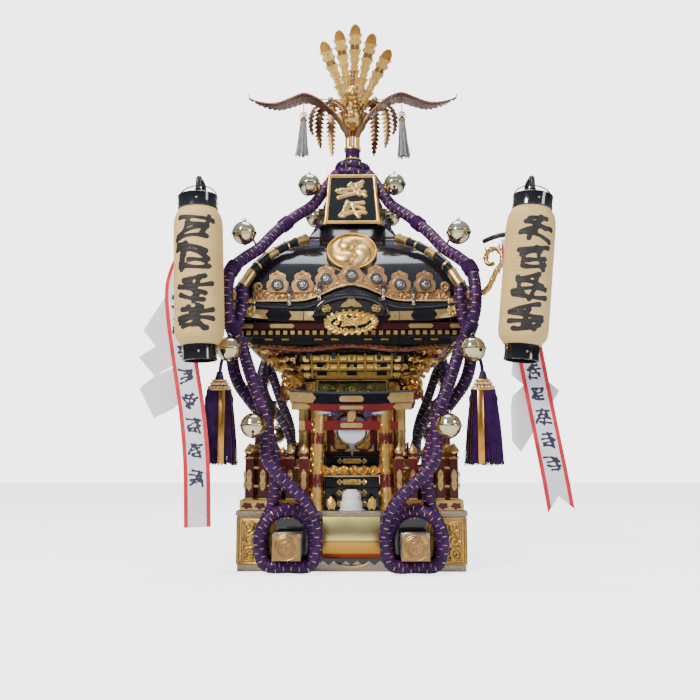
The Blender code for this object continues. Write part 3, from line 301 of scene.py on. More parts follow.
def caps(rings, sides):
    """Faces that close the first and the last ring."""
    return [tuple(reversed(range(sides))), tuple((rings - 1) * sides + k for k in range(sides))]


def quads(rows, cols):
    """Faces of an open grid with this many rows and columns of faces, its points counted along each row."""
    row = cols + 1
    return [(j * row + i, j * row + i + 1, (j + 1) * row + i + 1, (j + 1) * row + i)
            for j in range(rows) for i in range(cols)]


# A piece with more triangles than its budget is thinned where it is flat, down to the budget and a share
# of the rest
PIECE_BUDGET, PAST_BUDGET = 24000, 0.14


class Piece:
    """Gathers simple meshes into one object with one or a few finishes."""

    def __init__(self, name, *finishes, smooth=38):
        self.name, self.finishes, self.smooth = name, finishes, smooth
        self.verts, self.faces, self.kinds = [], [], []
        self.count, self.marks = 0, []

    def put(self, verts, faces, place=None, kind=0):
        verts = np.asarray(verts, float).reshape(-1, 3)
        flip = False
        if place is not None:
            m = np.array(place)
            verts = verts @ m[:3, :3].T + m[:3, 3]
            flip = np.linalg.det(m[:3, :3]) < 0
        base = self.count
        self.verts.append(verts)
        self.count += len(verts)
        for index, face in enumerate(faces):
            face = [base + i for i in face]
            self.faces.append(face[::-1] if flip else face)
            self.kinds.append(kind if isinstance(kind, int) else kind[index])

    def mark(self):
        self.marks.append((len(self.verts), len(self.faces), self.count))

    def repeat(self, places):
        """Copies what was put since the last mark to each of these places too."""
        first, face_from, count_from = self.marks.pop()
        verts = np.concatenate(self.verts[first:])
        faces = [[i - count_from for i in f] for f in self.faces[face_from:]]
        kinds = self.kinds[face_from:]
        for place in places:
            self.put(verts, faces, place, kinds)

    def both(self):
        self.repeat([Matrix.Scale(-1, 4, (1, 0, 0))])

    def four(self):
        self.repeat([turn(1), turn(2), turn(3)])

    def box(self, low, high, place=None, bevel=0.0008, kind=0):
        low, high = Vector(tuple(map(min, low, high))), Vector(tuple(map(max, low, high)))
        shape = bmesh.new()
        bmesh.ops.create_cube(shape, size=1.0)
        bmesh.ops.scale(shape, vec=high - low, verts=shape.verts)
        bmesh.ops.translate(shape, vec=(low + high) / 2, verts=shape.verts)
        if bevel:
            bmesh.ops.bevel(shape, geom=shape.edges[:], offset=bevel, segments=1, affect="EDGES")
        shape.verts.index_update()
        self.put([v.co[:] for v in shape.verts], [[v.index for v in f.verts] for f in shape.faces], place,
                 kind)
        shape.free()

    def lathe(self, profile, sides=24, place=None, kind=0, wave=None, close=True):
        """Turned about Z from (radius, height) points, upwards. wave(angle, height) scales the radius."""
        profile = [(max(r, 1e-5), z) for r, z in profile]
        if close:
            profile = [(1e-5, profile[0][1]), *profile, (1e-5, profile[-1][1])]
        verts = []
        for r, z in profile:
            for k in range(sides):
                a = TAU * k / sides
                rr = r * (wave(a, z) if wave else 1.0)
                verts.append((rr * cos(a), rr * sin(a), z))
        self.put(verts, bands(len(profile), sides), place, kind)

    def tube(self, points, radius, sides=8, place=None, kind=0, flat=1.0):
        """A round bar along points; radius may be a list. flat squashes it along its second side."""
        pts = np.asarray(points, float)
        n = len(pts)
        radii = radius if hasattr(radius, "__len__") else [radius] * n
        along = np.gradient(pts, axis=0)
        along /= np.linalg.norm(along, axis=1)[:, None] + 1e-12
        start = np.array((0, 0, 1.0)) if abs(along[0][2]) < 0.9 else np.array((1.0, 0, 0))
        a = np.cross(along[0], start)
        a /= np.linalg.norm(a)
        verts = []
        for i in range(n):
            a = a - along[i] * a.dot(along[i])
            a /= np.linalg.norm(a) + 1e-12
            b = np.cross(along[i], a)
            for k in range(sides):
                w = TAU * k / sides
                verts.append(pts[i] + radii[i] * (cos(w) * a + flat * sin(w) * b))
        self.put(verts, bands(n, sides) + caps(n, sides), place, kind)

    def plate(self, outline, thick, place=None, kind=0, edge=0.0006):
        """A flat outline in XY, anticlockwise, that rises from z 0 to its thickness with a bevelled rim."""
        pts = np.asarray(outline, float)
        if sum(x0 * y1 - x1 * y0 for (x0, y0), (x1, y1) in zip(pts, np.roll(pts, -1, 0))) < 0:
            pts = pts[::-1]
        n = len(pts)
        before, after = pts - np.roll(pts, 1, 0), np.roll(pts, -1, 0) - pts
        before /= np.linalg.norm(before, axis=1)[:, None] + 1e-9
        after /= np.linalg.norm(after, axis=1)[:, None] + 1e-9
        inward = np.stack([-(before + after)[:, 1], (before + after)[:, 0]], 1)
        inward /= np.linalg.norm(inward, axis=1)[:, None] + 1e-9
        top = pts + inward * edge
        rings = [(pts, 0.0), (pts, thick - edge), (top, thick)]
        verts = np.concatenate([np.column_stack([p, np.full(n, z)]) for p, z in rings])
        self.put(verts, bands(3, n) + caps(3, n)[::-1], place, kind)

    def relief(self, width, height, marks, depth, grid, place=None, kind=0, base=0.001, mask=None):
        """An embossed sheet in XY, centred, its face towards +Z. marks are (points, widths) that swell up."""
        nx, ny = max(2, round(width / grid)), max(2, round(height / grid))
        xs, ys = np.linspace(-width / 2, width / 2, nx + 1), np.linspace(-height / 2, height / 2, ny + 1)
        flat = np.column_stack([g.ravel() for g in np.meshgrid(xs, ys)])
        verts = np.column_stack([flat, base + swell(flat, marks) * depth])
        centres = [((xs[i] + xs[i + 1]) / 2, (ys[j] + ys[j + 1]) / 2) for j in range(ny) for i in range(nx)]
        faces = [face for face, centre in zip(quads(ny, nx), centres) if mask is None or mask(*centre)]
        self.put(verts, faces, place, kind)

    def done(self, *nodes, slot=None, body="root", whole=False):
        mesh = bpy.data.meshes.new(self.name)
        mesh.from_pydata(np.concatenate(self.verts).tolist(), [], self.faces)
        for key in self.finishes:
            mesh.materials.append(MAT[key])
        mesh.polygons.foreach_set("material_index", self.kinds)
        mesh.validate()
        loose = bmesh.new()
        loose.from_mesh(mesh)
        bmesh.ops.delete(loose, geom=[v for v in loose.verts if not v.link_faces], context="VERTS")
        loose.to_mesh(mesh)
        loose.free()
        obj = bpy.data.objects.new(self.name, mesh)
        bpy.context.scene.collection.objects.link(obj)
        count = sum(len(face.vertices) - 2 for face in mesh.polygons)
        if count > PIECE_BUDGET and not whole:
            less = obj.modifiers.new("less", "DECIMATE")
            less.ratio = (PIECE_BUDGET + PAST_BUDGET * (count - PIECE_BUDGET)) / count
            mesh = bpy.data.meshes.new_from_object(obj.evaluated_get(bpy.context.evaluated_depsgraph_get()))
            obj.modifiers.clear()
            obj.data = mesh
        mesh.shade_smooth()
        mesh.set_sharp_from_angle(angle=radians(self.smooth))
        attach(obj, body)
        if nodes:
            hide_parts(*nodes)
        return obj


def swell(flat, marks):
    """The height, 0 to about 1, of rounded strokes at the given points. Each mark is (points, widths)."""
    height = np.zeros(len(flat))
    biggest = max(max(w) if hasattr(w, "__len__") else w for _, w in marks)
    for points, widths in marks:
        pts = np.asarray(points, float)
        ws = np.asarray(widths, float) if hasattr(widths, "__len__") else np.full(len(pts), widths)
        for p, w in zip(pts, ws):
            d = (flat[:, 0] - p[0]) ** 2 + (flat[:, 1] - p[1]) ** 2
            near = d < w * w
            if near.any():
                height[near] = np.maximum(height[near], np.sqrt(1 - d[near] / (w * w)) * w / biggest)
    return height


def spiral(cx, cy, radius, turns=1.6, start=0.0, way=1, lead=None, width=0.003, steps=60):
    """A scroll mark that winds in to (cx, cy); lead is a point that its stem comes from."""
    points, widths = [], []
    for k in range(steps + 1):
        t = k / steps
        r = radius * (1 - 0.85 * t)
        a = start + way * TAU * turns * t
        points.append((cx + r * cos(a), cy + r * sin(a)))
        widths.append(width * (1 - 0.45 * t))
    if lead:
        first = points[0]
        stem = [(lead[0] + (first[0] - lead[0]) * k / 14, lead[1] + (first[1] - lead[1]) * k / 14)
                for k in range(14)]
        points = stem + points
        widths = [width * (0.6 + 0.4 * k / 14) for k in range(14)] + widths
    return points, widths


def line(points, spacing=0.02):
    """Points at an even spacing on a smooth curve through the given ones."""
    pts = [Vector(p) for p in points]
    ends = [2 * pts[0] - pts[1], *pts, 2 * pts[-1] - pts[-2]]
    fine = []
    for a, b, c, d in zip(ends, ends[1:], ends[2:], ends[3:]):
        for step in range(16):
            t = step / 16
            fine.append(0.5 * (2 * b + (c - a) * t + (2 * a - 5 * b + 4 * c - d) * t * t
                               + (3 * b - a - 3 * c + d) * t ** 3))
    fine.append(pts[-1])
    fine = np.array([tuple(p) for p in fine])
    walk = np.concatenate([[0], np.cumsum(np.linalg.norm(np.diff(fine, axis=0), axis=1))])
    count = max(2, round(walk[-1] / spacing))
    want = np.linspace(0, walk[-1], count + 1)
    return np.column_stack([np.interp(want, walk, fine[:, i]) for i in range(fine.shape[1])])


def aimed(point, direction):
    """A placing matrix at a point, its Z in this direction."""
    return Matrix.Translation(point) @ Vector(direction).normalized().to_track_quat("Z",
                                                                                    "Y").to_matrix().to_4x4()


def taper(radius, loss, count, steps=None):
    """Radii that shrink evenly, by this share over this many steps."""
    return [radius * (1 - loss * k / (steps or count)) for k in range(count)]


def hoop(x, y, z, rx, ry, count):
    """Points of a closed level ellipse round (x, y, z)."""
    t = np.linspace(0, TAU, count)
    return np.column_stack([x + rx * np.cos(t), y + ry * np.sin(t), z + 0 * t])


def lobe(x, y, rx, count, ry=None):
    """The outline of a round or oval plate."""
    return [(x + rx * cos(t), y + (ry or rx) * sin(t)) for t in np.linspace(0, TAU, count + 1)[:-1]]


def pointed(half, tall, point):
    """The outline of a plate whose two ends run to a point."""
    return [(-half, -tall), (half, -tall), (half + point, 0), (half, tall), (-half, tall), (-half - point, 0)]


def paint(key, *nodes):
    for node in nodes:
        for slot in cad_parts[node].material_slots:
            slot.material = MAT[key]


def facing(x, y, z, rz=0.0, scale=1.0, lean=0.0):
    """Sets a shape drawn in XY upright on a front face: its Z towards -Y."""
    return at(x, y, z, rx=90 - lean, scale=1.0) @ Matrix.Rotation(radians(rz), 4, "Z") @ (
        Matrix.Diagonal((*scale, 1)) if isinstance(scale, tuple) else Matrix.Scale(scale, 4))


def skin(piece, sections, place=None, kind=0):
    """Closed rings of as many points, joined and capped."""
    n, k = len(sections), len(sections[0])
    faces = bands(n, k) + caps(n, k)
    verts = [p for section in sections for p in section]
    a, b, c = (np.array(sections[0][j], float) for j in (0, 1, 2))
    forward = np.array(sections[1][0], float) - a
    if np.dot(np.cross(b - a, c - b), forward) < 0:
        faces = [tuple(reversed(f)) for f in faces]
    piece.put(verts, faces, place, kind)


def frame_marks(width, height, inset=0.003, thick=0.0016):
    """Marks for a raised border line."""
    w, h = width / 2 - inset, height / 2 - inset
    corners = [(-w, -h), (w, -h), (w, h), (-w, h), (-w, -h)]
    points = []
    for (x0, y0), (x1, y1) in zip(corners, corners[1:]):
        count = max(2, int(hypot(x1 - x0, y1 - y0) / (thick * 0.5)))
        points += [(x0 + (x1 - x0) * k / count, y0 + (y1 - y0) * k / count) for k in range(count)]
    return points, thick


def rinceau(width, height, seed, size=0.016, thick=0.0022, border=True):
    """Scrolls, buds and dots that fill a panel, for chased and pierced metalwork."""
    pick = random.Random(seed)
    marks = [frame_marks(width, height)] if border else []
    nx, ny = max(1, round(width / (size * 1.7))), max(1, round(height / (size * 1.7)))
    for i in range(nx):
        for j in range(ny):
            cx = -width / 2 + width * (i + 0.5) / nx + pick.uniform(-1, 1) * size * 0.12
            cy = -height / 2 + height * (j + 0.5) / ny + pick.uniform(-1, 1) * size * 0.12
            way = 1 if (i + j) % 2 else -1
            start = pick.uniform(0, TAU)
            lead = (cx + size * 1.5 * cos(start - 0.9 * way), cy + size * 1.5 * sin(start - 0.9 * way))
            lead = (max(-width / 2 + 0.004, min(width / 2 - 0.004, lead[0])),
                    max(-height / 2 + 0.004, min(height / 2 - 0.004, lead[1])))
            marks.append(spiral(cx, cy, size * 0.72, 1.35, start, way, lead, thick, 40))
            for k in range(3):
                a = start + k * TAU / 3 + 0.6
                p = (cx + size * 0.98 * cos(a), cy + size * 0.98 * sin(a))
                q = (cx + size * 0.7 * cos(a + 0.35), cy + size * 0.7 * sin(a + 0.35))
                marks.append(([(q[0] + (p[0] - q[0]) * t / 5, q[1] + (p[1] - q[1]) * t / 5)
                               for t in range(6)],
                              [thick * (1.25 - 0.16 * t) for t in range(6)]))
    return marks


def tomoe(radius):
    """The three-comma crest, as marks."""
    marks = []
    for k in range(3):
        start = k * TAU / 3
        points, widths = [], []
        for t in range(34):
            share = t / 33
            a = start - share * 2.25
            r = radius * (0.44 + 0.46 * share ** 0.75)
            points.append((r * cos(a), r * sin(a)))
            widths.append(radius * (0.37 * (1 - share) ** 0.85 + 0.03))
        marks.append((points, widths))
    return marks


def ring_marks(radius, thick, cx=0.0, cy=0.0):
    count = int(TAU * radius / (thick * 0.5))
    return [(cx + radius * cos(TAU * k / count), cy + radius * sin(TAU * k / count))
            for k in range(count)], thick


def disc_relief(piece, radius, marks, depth, grid, place, kind=0, base=0.001):
    piece.relief(2 * radius, 2 * radius, marks, depth, grid, place, kind, base,
                 mask=lambda x, y: hypot(x, y) < radius)


def leaf(length, width, waist=0.55, n=10):
    """A pointed plate outline along Y, widest near waist."""
    right = []
    for k in range(n + 1):
        t = k / n
        w = width / 2 * sin(pi * t ** (log(0.5) / log(waist))) ** 0.8 if 0 < t < 1 else 0
        right.append((w, length * t))
    return right + [(-x, y) for x, y in reversed(right[1:-1])]


HALF = 0.371
APRON_GAP = 0.0009


def make_base():
    paint("black", "base_frame")
    paint("silver", "base_foot_board", "base_top_board")
    plates = Piece("base_corner_plates", "gold", smooth=60)
    plates.mark()
    plates.mark()
    wide, tall = 0.126, 0.154
    marks = rinceau(wide - 0.03, tall - 0.03, 3, size=0.027, thick=0.0026)
    marks += [frame_marks(wide, tall, 0.0125, 0.002), frame_marks(wide, tall, 0.004, 0.002)]
    plates.relief(wide, tall, marks, 0.0046, 0.0019, facing(-HALF + wide / 2, -HALF - 0.0008, 0.0985),
                  base=0.0012)
    plates.both()
    plates.four()
    plates.done()
    trim = Piece("base_saw_tooth_trim", "silver", smooth=20)
    trim.mark()
    count = 56
    for k in range(count):
        x = -HALF + (k + 0.5) * 2 * HALF / count
        w = HALF / count
        trim.plate([(-w, 0), (w, 0), (0, -0.011)], 0.0012, facing(x, -HALF - 0.0002, 0.1765))
    for k in range(20):
        x = -HALF + (k + 0.5) * 2 * HALF / 20
        trim.plate([(-0.0185, 0), (0, 0.0145), (0.0185, 0)], 0.0012, facing(x, -HALF - 0.0002, 0.0205))
    trim.box((-HALF - 0.001, -HALF - 0.0022, 0.1745), (HALF + 0.001, -HALF, 0.1768))
    trim.box((-HALF - 0.001, -HALF - 0.0022, 0.0203), (HALF + 0.001, -HALF, 0.0222))
    trim.four()
    trim.done()
    rails = Piece("base_edge_rails", "silver", "gold_plain", smooth=30)
    rails.mark()
    rails.box((-HALF - 0.0064, -HALF - 0.0075, 0.18), (HALF + 0.0064, -HALF - 0.0055, 0.1835))
    for k in range(16):
        x = -HALF + (k + 0.5) * 2 * HALF / 16
        rails.plate(leaf(0.02, 0.006), 0.001, facing(x - 0.01, -HALF - 0.0058, 0.1885, rz=-90), kind=1)
        rails.lathe([(0.0022, 0), (0.0018, 0.0012), (0.0006, 0.0018)], 8, facing(x, -HALF - 0.006, 0.01),
                    kind=1)
    rails.four()
    rails.done()
    crest = Piece("base_medallion", "gold", smooth=60)
    crest.mark()
    marks = [ring_marks(0.05, 0.003), *tomoe(0.034), ring_marks(0.041, 0.0016)]
    disc_relief(crest, 0.054, marks, 0.004, 0.0014, facing(0, -HALF - 0.0005, 0.1))
    crest.four()
    crest.done()
    apron = Piece("brass_apron", "brass", smooth=70)
    rows, cols, half, thick = 40, 24, 0.093, 0.0028
    low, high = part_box("front_apron")
    verts = []
    for depth in (thick, 0):
        for j in range(rows + 1):
            t = j / rows
            bow = 0.0155 * max(0.0, sin(pi * t)) ** 0.8
            for i in range(cols + 1):
                s = -1 + 2 * i / cols
                curl = 0.0012 * sin(5.0 * s + 2.1) * sin(pi * t)
                y = -HALF - APRON_GAP - depth - bow * (1 - 0.1 * s * s) + curl
                verts.append((half * s, y, low.z + (high.z - low.z) * t))
    row, layer = cols + 1, (rows + 1) * (cols + 1)
    faces = quads(rows, cols)
    faces += [tuple(i + layer for i in reversed(face)) for face in faces]
    rim = [i for i in range(cols)] + [j * row + cols for j in range(rows)]
    rim += [rows * row + i for i in range(cols, 0, -1)] + [j * row for j in range(rows, 0, -1)]
    for a, b in zip(rim, rim[1:] + rim[:1]):
        faces.append((b, a, a + layer, b + layer))
    apron.put(verts, faces)
    apron.done("front_apron")
    lip = Piece("apron_crescent", "gold_plain", smooth=60)
    arc = np.linspace(pi * 1.08, pi * 1.92, 25)
    lip.tube([(0.056 * cos(t), -HALF - 0.012, 0.036 + 0.02 * sin(t)) for t in arc],
             [0.001 + 0.0034 * sin(pi * k / 24) for k in range(25)], 8)
    lip.done()
    make_poles()


def make_poles():
    paint("pole", "carry_pole_left", "carry_pole_right")
    ends = Piece("pole_end_fittings", "copper_gold", "pole", "gold", smooth=45)
    for x in (-0.2, 0.2):
        ends.mark()
        y, z, w, h = -0.511, 0.09, 0.043, 0.04
        face = [(-w, -h), (w, -h), (w, h * 0.72), (w * 0.72, h), (-w * 0.72, h), (-w, h * 0.72)]
        ends.plate(face, 0.0012, facing(x, y + 0.0004, z), 0)
        marks = [*tomoe(0.022), ring_marks(0.0285, 0.0022)]
        disc_relief(ends, 0.031, marks, 0.003, 0.0011, facing(x, y - 0.0052, z), 0, base=0.0012)
        for r, t in ((0.0325, 0.0016), (0.0385, 0.0012)):
            ends.tube([(x + r * cos(TAU * k / 40), y - 0.0012, z + r * sin(TAU * k / 40))
                       for k in range(41)], t, 6, kind=2)
        for sx in (-1, 1):
            for sz in (-1, 1):
                ends.lathe([(0.0026, 0), (0.002, 0.0016), (0.0008, 0.0024)], 10,
                           facing(x + sx * 0.034, y - 0.0008, z + sz * 0.031), 2)
        for yy in (-0.505, -0.487, -0.452, -0.418):
            ends.box((x - 0.0442, yy, 0.049), (x + 0.0442, yy + 0.006, 0.131), kind=1)
        for k in range(9):
            for sx in (-1, 1):
                ends.lathe([(0.0016, 0), (0.001, 0.0014)], 6,
                           at(x + sx * 0.0432, -0.497 + 0.0125 * k, 0.122, ry=90 * sx), 2)
        ends.repeat([turn(2)])
    ends.done()


FENCE = 0.342
POSTS = [FENCE - 0.004 - 0.045 * k for k in range(5)]


def make_fence():
    paint("red", "fence_front_left", "fence_front_right", "fence_right", "fence_back", "fence_left")
    gilt = Piece("fence_gilding", "gold", "gold_plain", "red_bright", "black", smooth=45)
    top = 0.367
    finial = [(0.0125, 0), (0.0145, 0.0012), (0.0145, 0.003), (0.0085, 0.0052), (0.0078, 0.0075),
              (0.012, 0.0098),
              (0.0152, 0.015), (0.016, 0.0205), (0.014, 0.0265), (0.0095, 0.0325), (0.0048, 0.0385),
              (0.0018, 0.0438), (0.0008, 0.0462)]
    gilt.mark()
    for index, x in enumerate(POSTS):
        for sx in (-1, 1):
            gilt.lathe(finial, 16, at(sx * x, -FENCE, top), 1)
            gilt.box((sx * x - 0.014, -FENCE - 0.014, top - 0.006), (sx * x + 0.014, -FENCE + 0.014, top),
                     kind=1)
            y = -FENCE - 0.0137
            tall = [(0, -0.036), (0.0075, -0.026), (0.0095, -0.012), (0.0065, 0), (0.0095, 0.012),
                    (0.0075, 0.026),
                    (0, 0.036), (-0.0075, 0.026), (-0.0095, 0.012), (-0.0065, 0), (-0.0095, -0.012),
                    (-0.0075, -0.026)]
            gilt.plate(tall, 0.0014, facing(sx * x, y, 0.292), 1)
            for z in (-0.019, 0.019):
                marks = [spiral(0, 0, 0.0044, 1.3, z * 50 + index, 1, None, 0.0013, 20),
                         ring_marks(0.0058, 0.0009)]
                gilt.relief(0.0145, 0.0145, marks, 0.0016, 0.0011, facing(sx * x, y - 0.0012, 0.292 + z), 0,
                            mask=lambda a, b: abs(a) + abs(b) < 0.0085)
            gilt.box((sx * x - 0.0142, -FENCE - 0.0142, 0.2272), (sx * x + 0.0142, -FENCE + 0.0142, 0.2335),
                     kind=1)
            if index:
                for z in (0.272, 0.332):
                    gilt.plate(pointed(0.007, 0.0035, 0.002), 0.001,
                               facing(sx * (x + 0.0225), -FENCE - 0.006, z), 1)
    inner = 0.149
    for sx in (-1, 1):
        gilt.box((sx * inner, -0.3662, 0.1935), (sx * 0.365, -0.3645, 0.2268), kind=1)
        gilt.box((sx * inner, -0.367, 0.2225), (sx * 0.365, -0.364, 0.2275), kind=0)
        for k in range(5):
            x = sx * (0.172 + 0.0425 * k)
            cloud = []
            for j in range(28):
                a = TAU * j / 28
                r = 1 + 0.16 * cos(5 * a + 0.6 * k)
                cloud.append((0.016 * r * cos(a), 0.0098 * r * sin(a)))
            gilt.plate(cloud, 0.0016, facing(x, -0.3661, 0.2085), 2)
            gilt.tube([(x + px * 1.04, -0.3674, 0.2085 + py * 1.04) for px, py in cloud + cloud[:1]], 0.0009,
                      5, kind=0)
    gilt.four()
    gilt.done()


def pill(long, tall):
    """The outline of a plate with round ends."""
    right = [(long - tall + tall * sin(t), tall * cos(t)) for t in np.linspace(0, pi, 9)]
    return right + [(-x, z) for x, z in reversed(right)]


def make_gates():
    paint("red_bright", "gate_beams")
    gate = Piece("gate_fittings", "gold", "gold_plain", "black", "red_bright", "red", smooth=45)
    line_y = -FENCE + 0.012
    gate.mark()
    for sx in (-1, 1):
        foot, head = Vector((sx * 0.121, line_y, 0.1935)), Vector((sx * 0.111, line_y, 0.5195))
        axis = (head - foot)
        place = Matrix.Translation(foot) @ axis.to_track_quat("Z", "X").to_matrix().to_4x4()
        long = axis.length
        r = 0.0218
        profile = []
        for low, high, wide in ((0.0, 0.01, 1.32), (0.01, 0.018, 1.18), (0.018, 0.078, 1.0),
                                (0.078, 0.114, 1.035),
                                (0.114, 0.22, 1.0), (0.22, 0.25, 1.035), (0.25, long - 0.016, 1.0),
                                (long - 0.016, long, 1.12)):
            profile += [(r * wide, low), (r * wide, high)]
        gate.lathe(profile, 28, place, 0)
        for low, high in ((0.08, 0.112), (0.222, 0.248)):
            gate.lathe([(r * 1.05, low), (r * 1.05, high)], 28, place, 4)
            for edge, way in ((low, -1), (high, 1)):
                for k in range(12):
                    a = TAU * k / 12
                    gate.lathe([(0.0058, 0.0), (0.005, 0.001)], 10, place @ at(
                        r * 1.035 * cos(a), r * 1.035 * sin(a), edge + way * 0.001, ry=90,
                        rz=degrees(a)), 4)
                gate.lathe([(r * 1.062, edge - 0.0012), (r * 1.062, edge + 0.0012)], 28, place, 1)
        for k in range(7):
            for low in (0.03, 0.048, 0.066, 0.128, 0.146, 0.164, 0.182, 0.2, 0.262, 0.28, 0.298):
                a = TAU * (k + (round(low * 1000) // 18 % 2) * 0.5) / 7
                tilt = place @ at(r * cos(a), r * sin(a), low, rz=degrees(a)) @ at(0, 0, 0, ry=90)
                gate.tube([tuple(tilt @ Vector((0.0065 * (1 - t / 9) * cos(t * 0.8),
                                                0.0065 * (1 - t / 9) * sin(t * 0.8), 0.0004)))
                           for t in range(9)], 0.0011, 4, kind=0)
    ends, top_low = 0.206, 0.52
    xs = [-1 + k / 8 for k in range(17)]

    def beam(x_reach, z0, z1, half, lean, kind, rise=0.008):
        rings = []
        for x in xs:
            lift = rise * x * x
            shift = lean * abs(x) ** 6
            rings.append([(x * (x_reach - shift), line_y - half * 0.96, z0 + lift),
                          (x * (x_reach - shift), line_y + half * 0.96, z0 + lift),
                          (x * x_reach, line_y + half, z1 + lift), (x * x_reach, line_y - half, z1 + lift)])
        skin(gate, rings, kind=kind)

    beam(ends - 0.006, top_low + 0.0005, top_low + 0.022, 0.0192, 0.006, 3)
    beam(ends, top_low + 0.022, top_low + 0.056, 0.0212, 0.004, 2)
    beam(ends + 0.002, top_low + 0.056, top_low + 0.0632, 0.0222, 0.0, 2)
    for sx in (-1, 1):
        for z0, z1, h, e, w, rise in ((0.5215, 0.542, 0.0204, ends - 0.0045, 0.052, 0.006),
                                      (0.543, 0.5765, 0.0222, ends + 0.001, 0.076, 0.008)):
            lift = rise * 0.8
            outline = [(sx * (e - w), z0 + lift * 0.55), (sx * e, z0 + lift), (sx * e, z1 + lift),
                       (sx * (e - w), z1 + lift * 0.55), (sx * (e - w - 0.012), (z0 + z1) / 2 + lift * 0.5)]
            gate.plate(outline, 2 * h, at(0, line_y + h, 0, rx=90), 1, edge=0.0008)
        gate.box((sx * 0.1765, line_y - 0.012, 0.456), (sx * 0.156, line_y + 0.012, 0.488), kind=1)
        gate.box((sx * 0.136, line_y - 0.0118, 0.4562), (sx * 0.088, line_y + 0.0118, 0.4878), kind=3)
    for z, depth, long, tall in ((0.56, 0.0208, 0.041, 0.0105), (0.531, 0.019, 0.04, 0.0066),
                                 (0.472, 0.0118, 0.038, 0.0086)):
        gate.plate(pill(long, tall), 0.0018, facing(0, line_y - depth, z), 1, edge=0.0007)
    gate.box((-0.0135, line_y - 0.0124, 0.484), (0.0135, line_y + 0.0124, 0.524), kind=1)
    gate.four()
    gate.done("gate_pillar_left", "gate_pillar_right")


def make_steps():
    paint("black", "podium")
    paint("porcelain", "offering")
    steps = Piece("step_fittings", "gold_plain", "gold", "black", "gold_light", "amber", smooth=45)
    steps.mark()
    low, high, count = 0.1933, 0.371, 5
    rise = (high - low) / count
    for k in range(count):
        y = -(0.195 + 0.014 * (count - k))
        z = low + rise * k
        steps.box((-0.0925, y - 0.0006, z + rise - 0.003), (0.0925, y + 0.006, z + rise + 0.0006), kind=2)
        middle = z + rise * 0.5
        steps.plate(pointed(0.029, 0.009, 0.004), 0.0013, facing(0, y - 0.0001, middle), 0, edge=0.0006)
        steps.relief(0.046, 0.015, rinceau(0.046, 0.015, 21 + k, 0.0085, 0.0014, border=False), 0.0016,
                     0.0012,
                     facing(0, y - 0.0012, middle), 1)
        for sx in (-1, 1):
            for turn_by in range(4):
                a = turn_by * pi / 2
                steps.plate(lobe(0.0052 * cos(a), 0.0052 * sin(a), 0.005, 12), 0.0013,
                            facing(sx * 0.0425, y - 0.0001, middle), 0)
            steps.lathe([(0.0028, 0.0012), (0.0026, 0.0018)], 10, facing(sx * 0.0425, y - 0.0001, middle), 2)
    for sx in (-1, 1):
        rail = [(sx * 0.0955, -0.272, 0.232), (sx * 0.0955, -0.236, 0.318), (sx * 0.0955, -0.2, 0.4)]
        steps.tube(line(rail, 0.01), 0.0052, 10, kind=2)
        for x, y, z in rail:
            steps.tube([(x, y, z - 0.035), (x, y, z + 0.01)], 0.0048, 10, kind=2)
            steps.lathe([(0.0058, 0), (0.004, 0.002), (0.0064, 0.006), (0.0045, 0.011), (0.0008, 0.014)], 12,
                        at(x, y, z + 0.008), 0)
        steps.relief(0.02, 0.14, rinceau(0.02, 0.14, 5 + sx, 0.009, 0.0018), 0.002, 0.0016,
                     facing(sx * 0.106, -0.1956, 0.29), 1)
        steps.relief(0.085, 0.15, rinceau(0.085, 0.15, 9 + sx, 0.02, 0.0022), 0.0022, 0.0022,
                     facing(sx * 0.1535, -0.1956, 0.285), 1)
    steps.four()
    dragon = []
    for way in (-1, 1):
        dragon.append(([(way * (0.008 + 0.088 * t / 60), 0.0065 * sin(t * 0.42) - 0.001) for t in range(61)],
                       [0.0062 * (1 - 0.006 * t) for t in range(61)]))
        for k in range(5):
            dragon.append(spiral(way * (0.024 + 0.017 * k), (-1) ** k * 0.0085, 0.0058, 1.3, k, way, None,
                                 0.002, 24))
    dragon.append(([(0, 0)], [0.0115]))
    steps.box((-0.1015, -0.323, 0.302), (0.1015, -0.313, 0.306), kind=0)
    steps.relief(0.2, 0.034, dragon, 0.01, 0.0014, facing(0, -0.319, 0.323), 4, base=0.0016,
                 mask=lambda x, y: abs(y) < 0.0125 + 0.0035 * sin(x * 190))
    steps.box((-0.1, -0.3195, 0.308), (0.1, -0.315, 0.3365), kind=2)
    for sx in (-1, 1):
        for k, (dx, lean) in enumerate(((0.058, -14), (0.074, 10))):
            blade = leaf(0.046, 0.022, 0.5)
            steps.plate(blade, 0.0022, facing(sx * dx, -0.356 - 0.003 * k, 0.1945, rz=sx * lean), 3)
            steps.tube([(sx * dx + 0.0003, -0.3585 - 0.003 * k, 0.1955),
                        (sx * (dx + 0.006), -0.3592 - 0.003 * k,
                         0.232)], 0.0012, 5, kind=1)
    steps.done()
    bowl = Piece("offering_detail", "porcelain", smooth=70)
    outline = [(0.043, 0.1936), (0.043, 0.1954), (0.0375, 0.1972), (0.0378, 0.203), (0.0385, 0.21),
               (0.037, 0.218), (0.033, 0.2245), (0.0305, 0.2275), (0.0318, 0.233), (0.0316, 0.24),
               (0.029, 0.248), (0.0235, 0.2545), (0.0195, 0.258), (0.019, 0.2606)]
    bowl.lathe(outline, 40, at(0, -0.331, 0))
    bowl.done("offering")


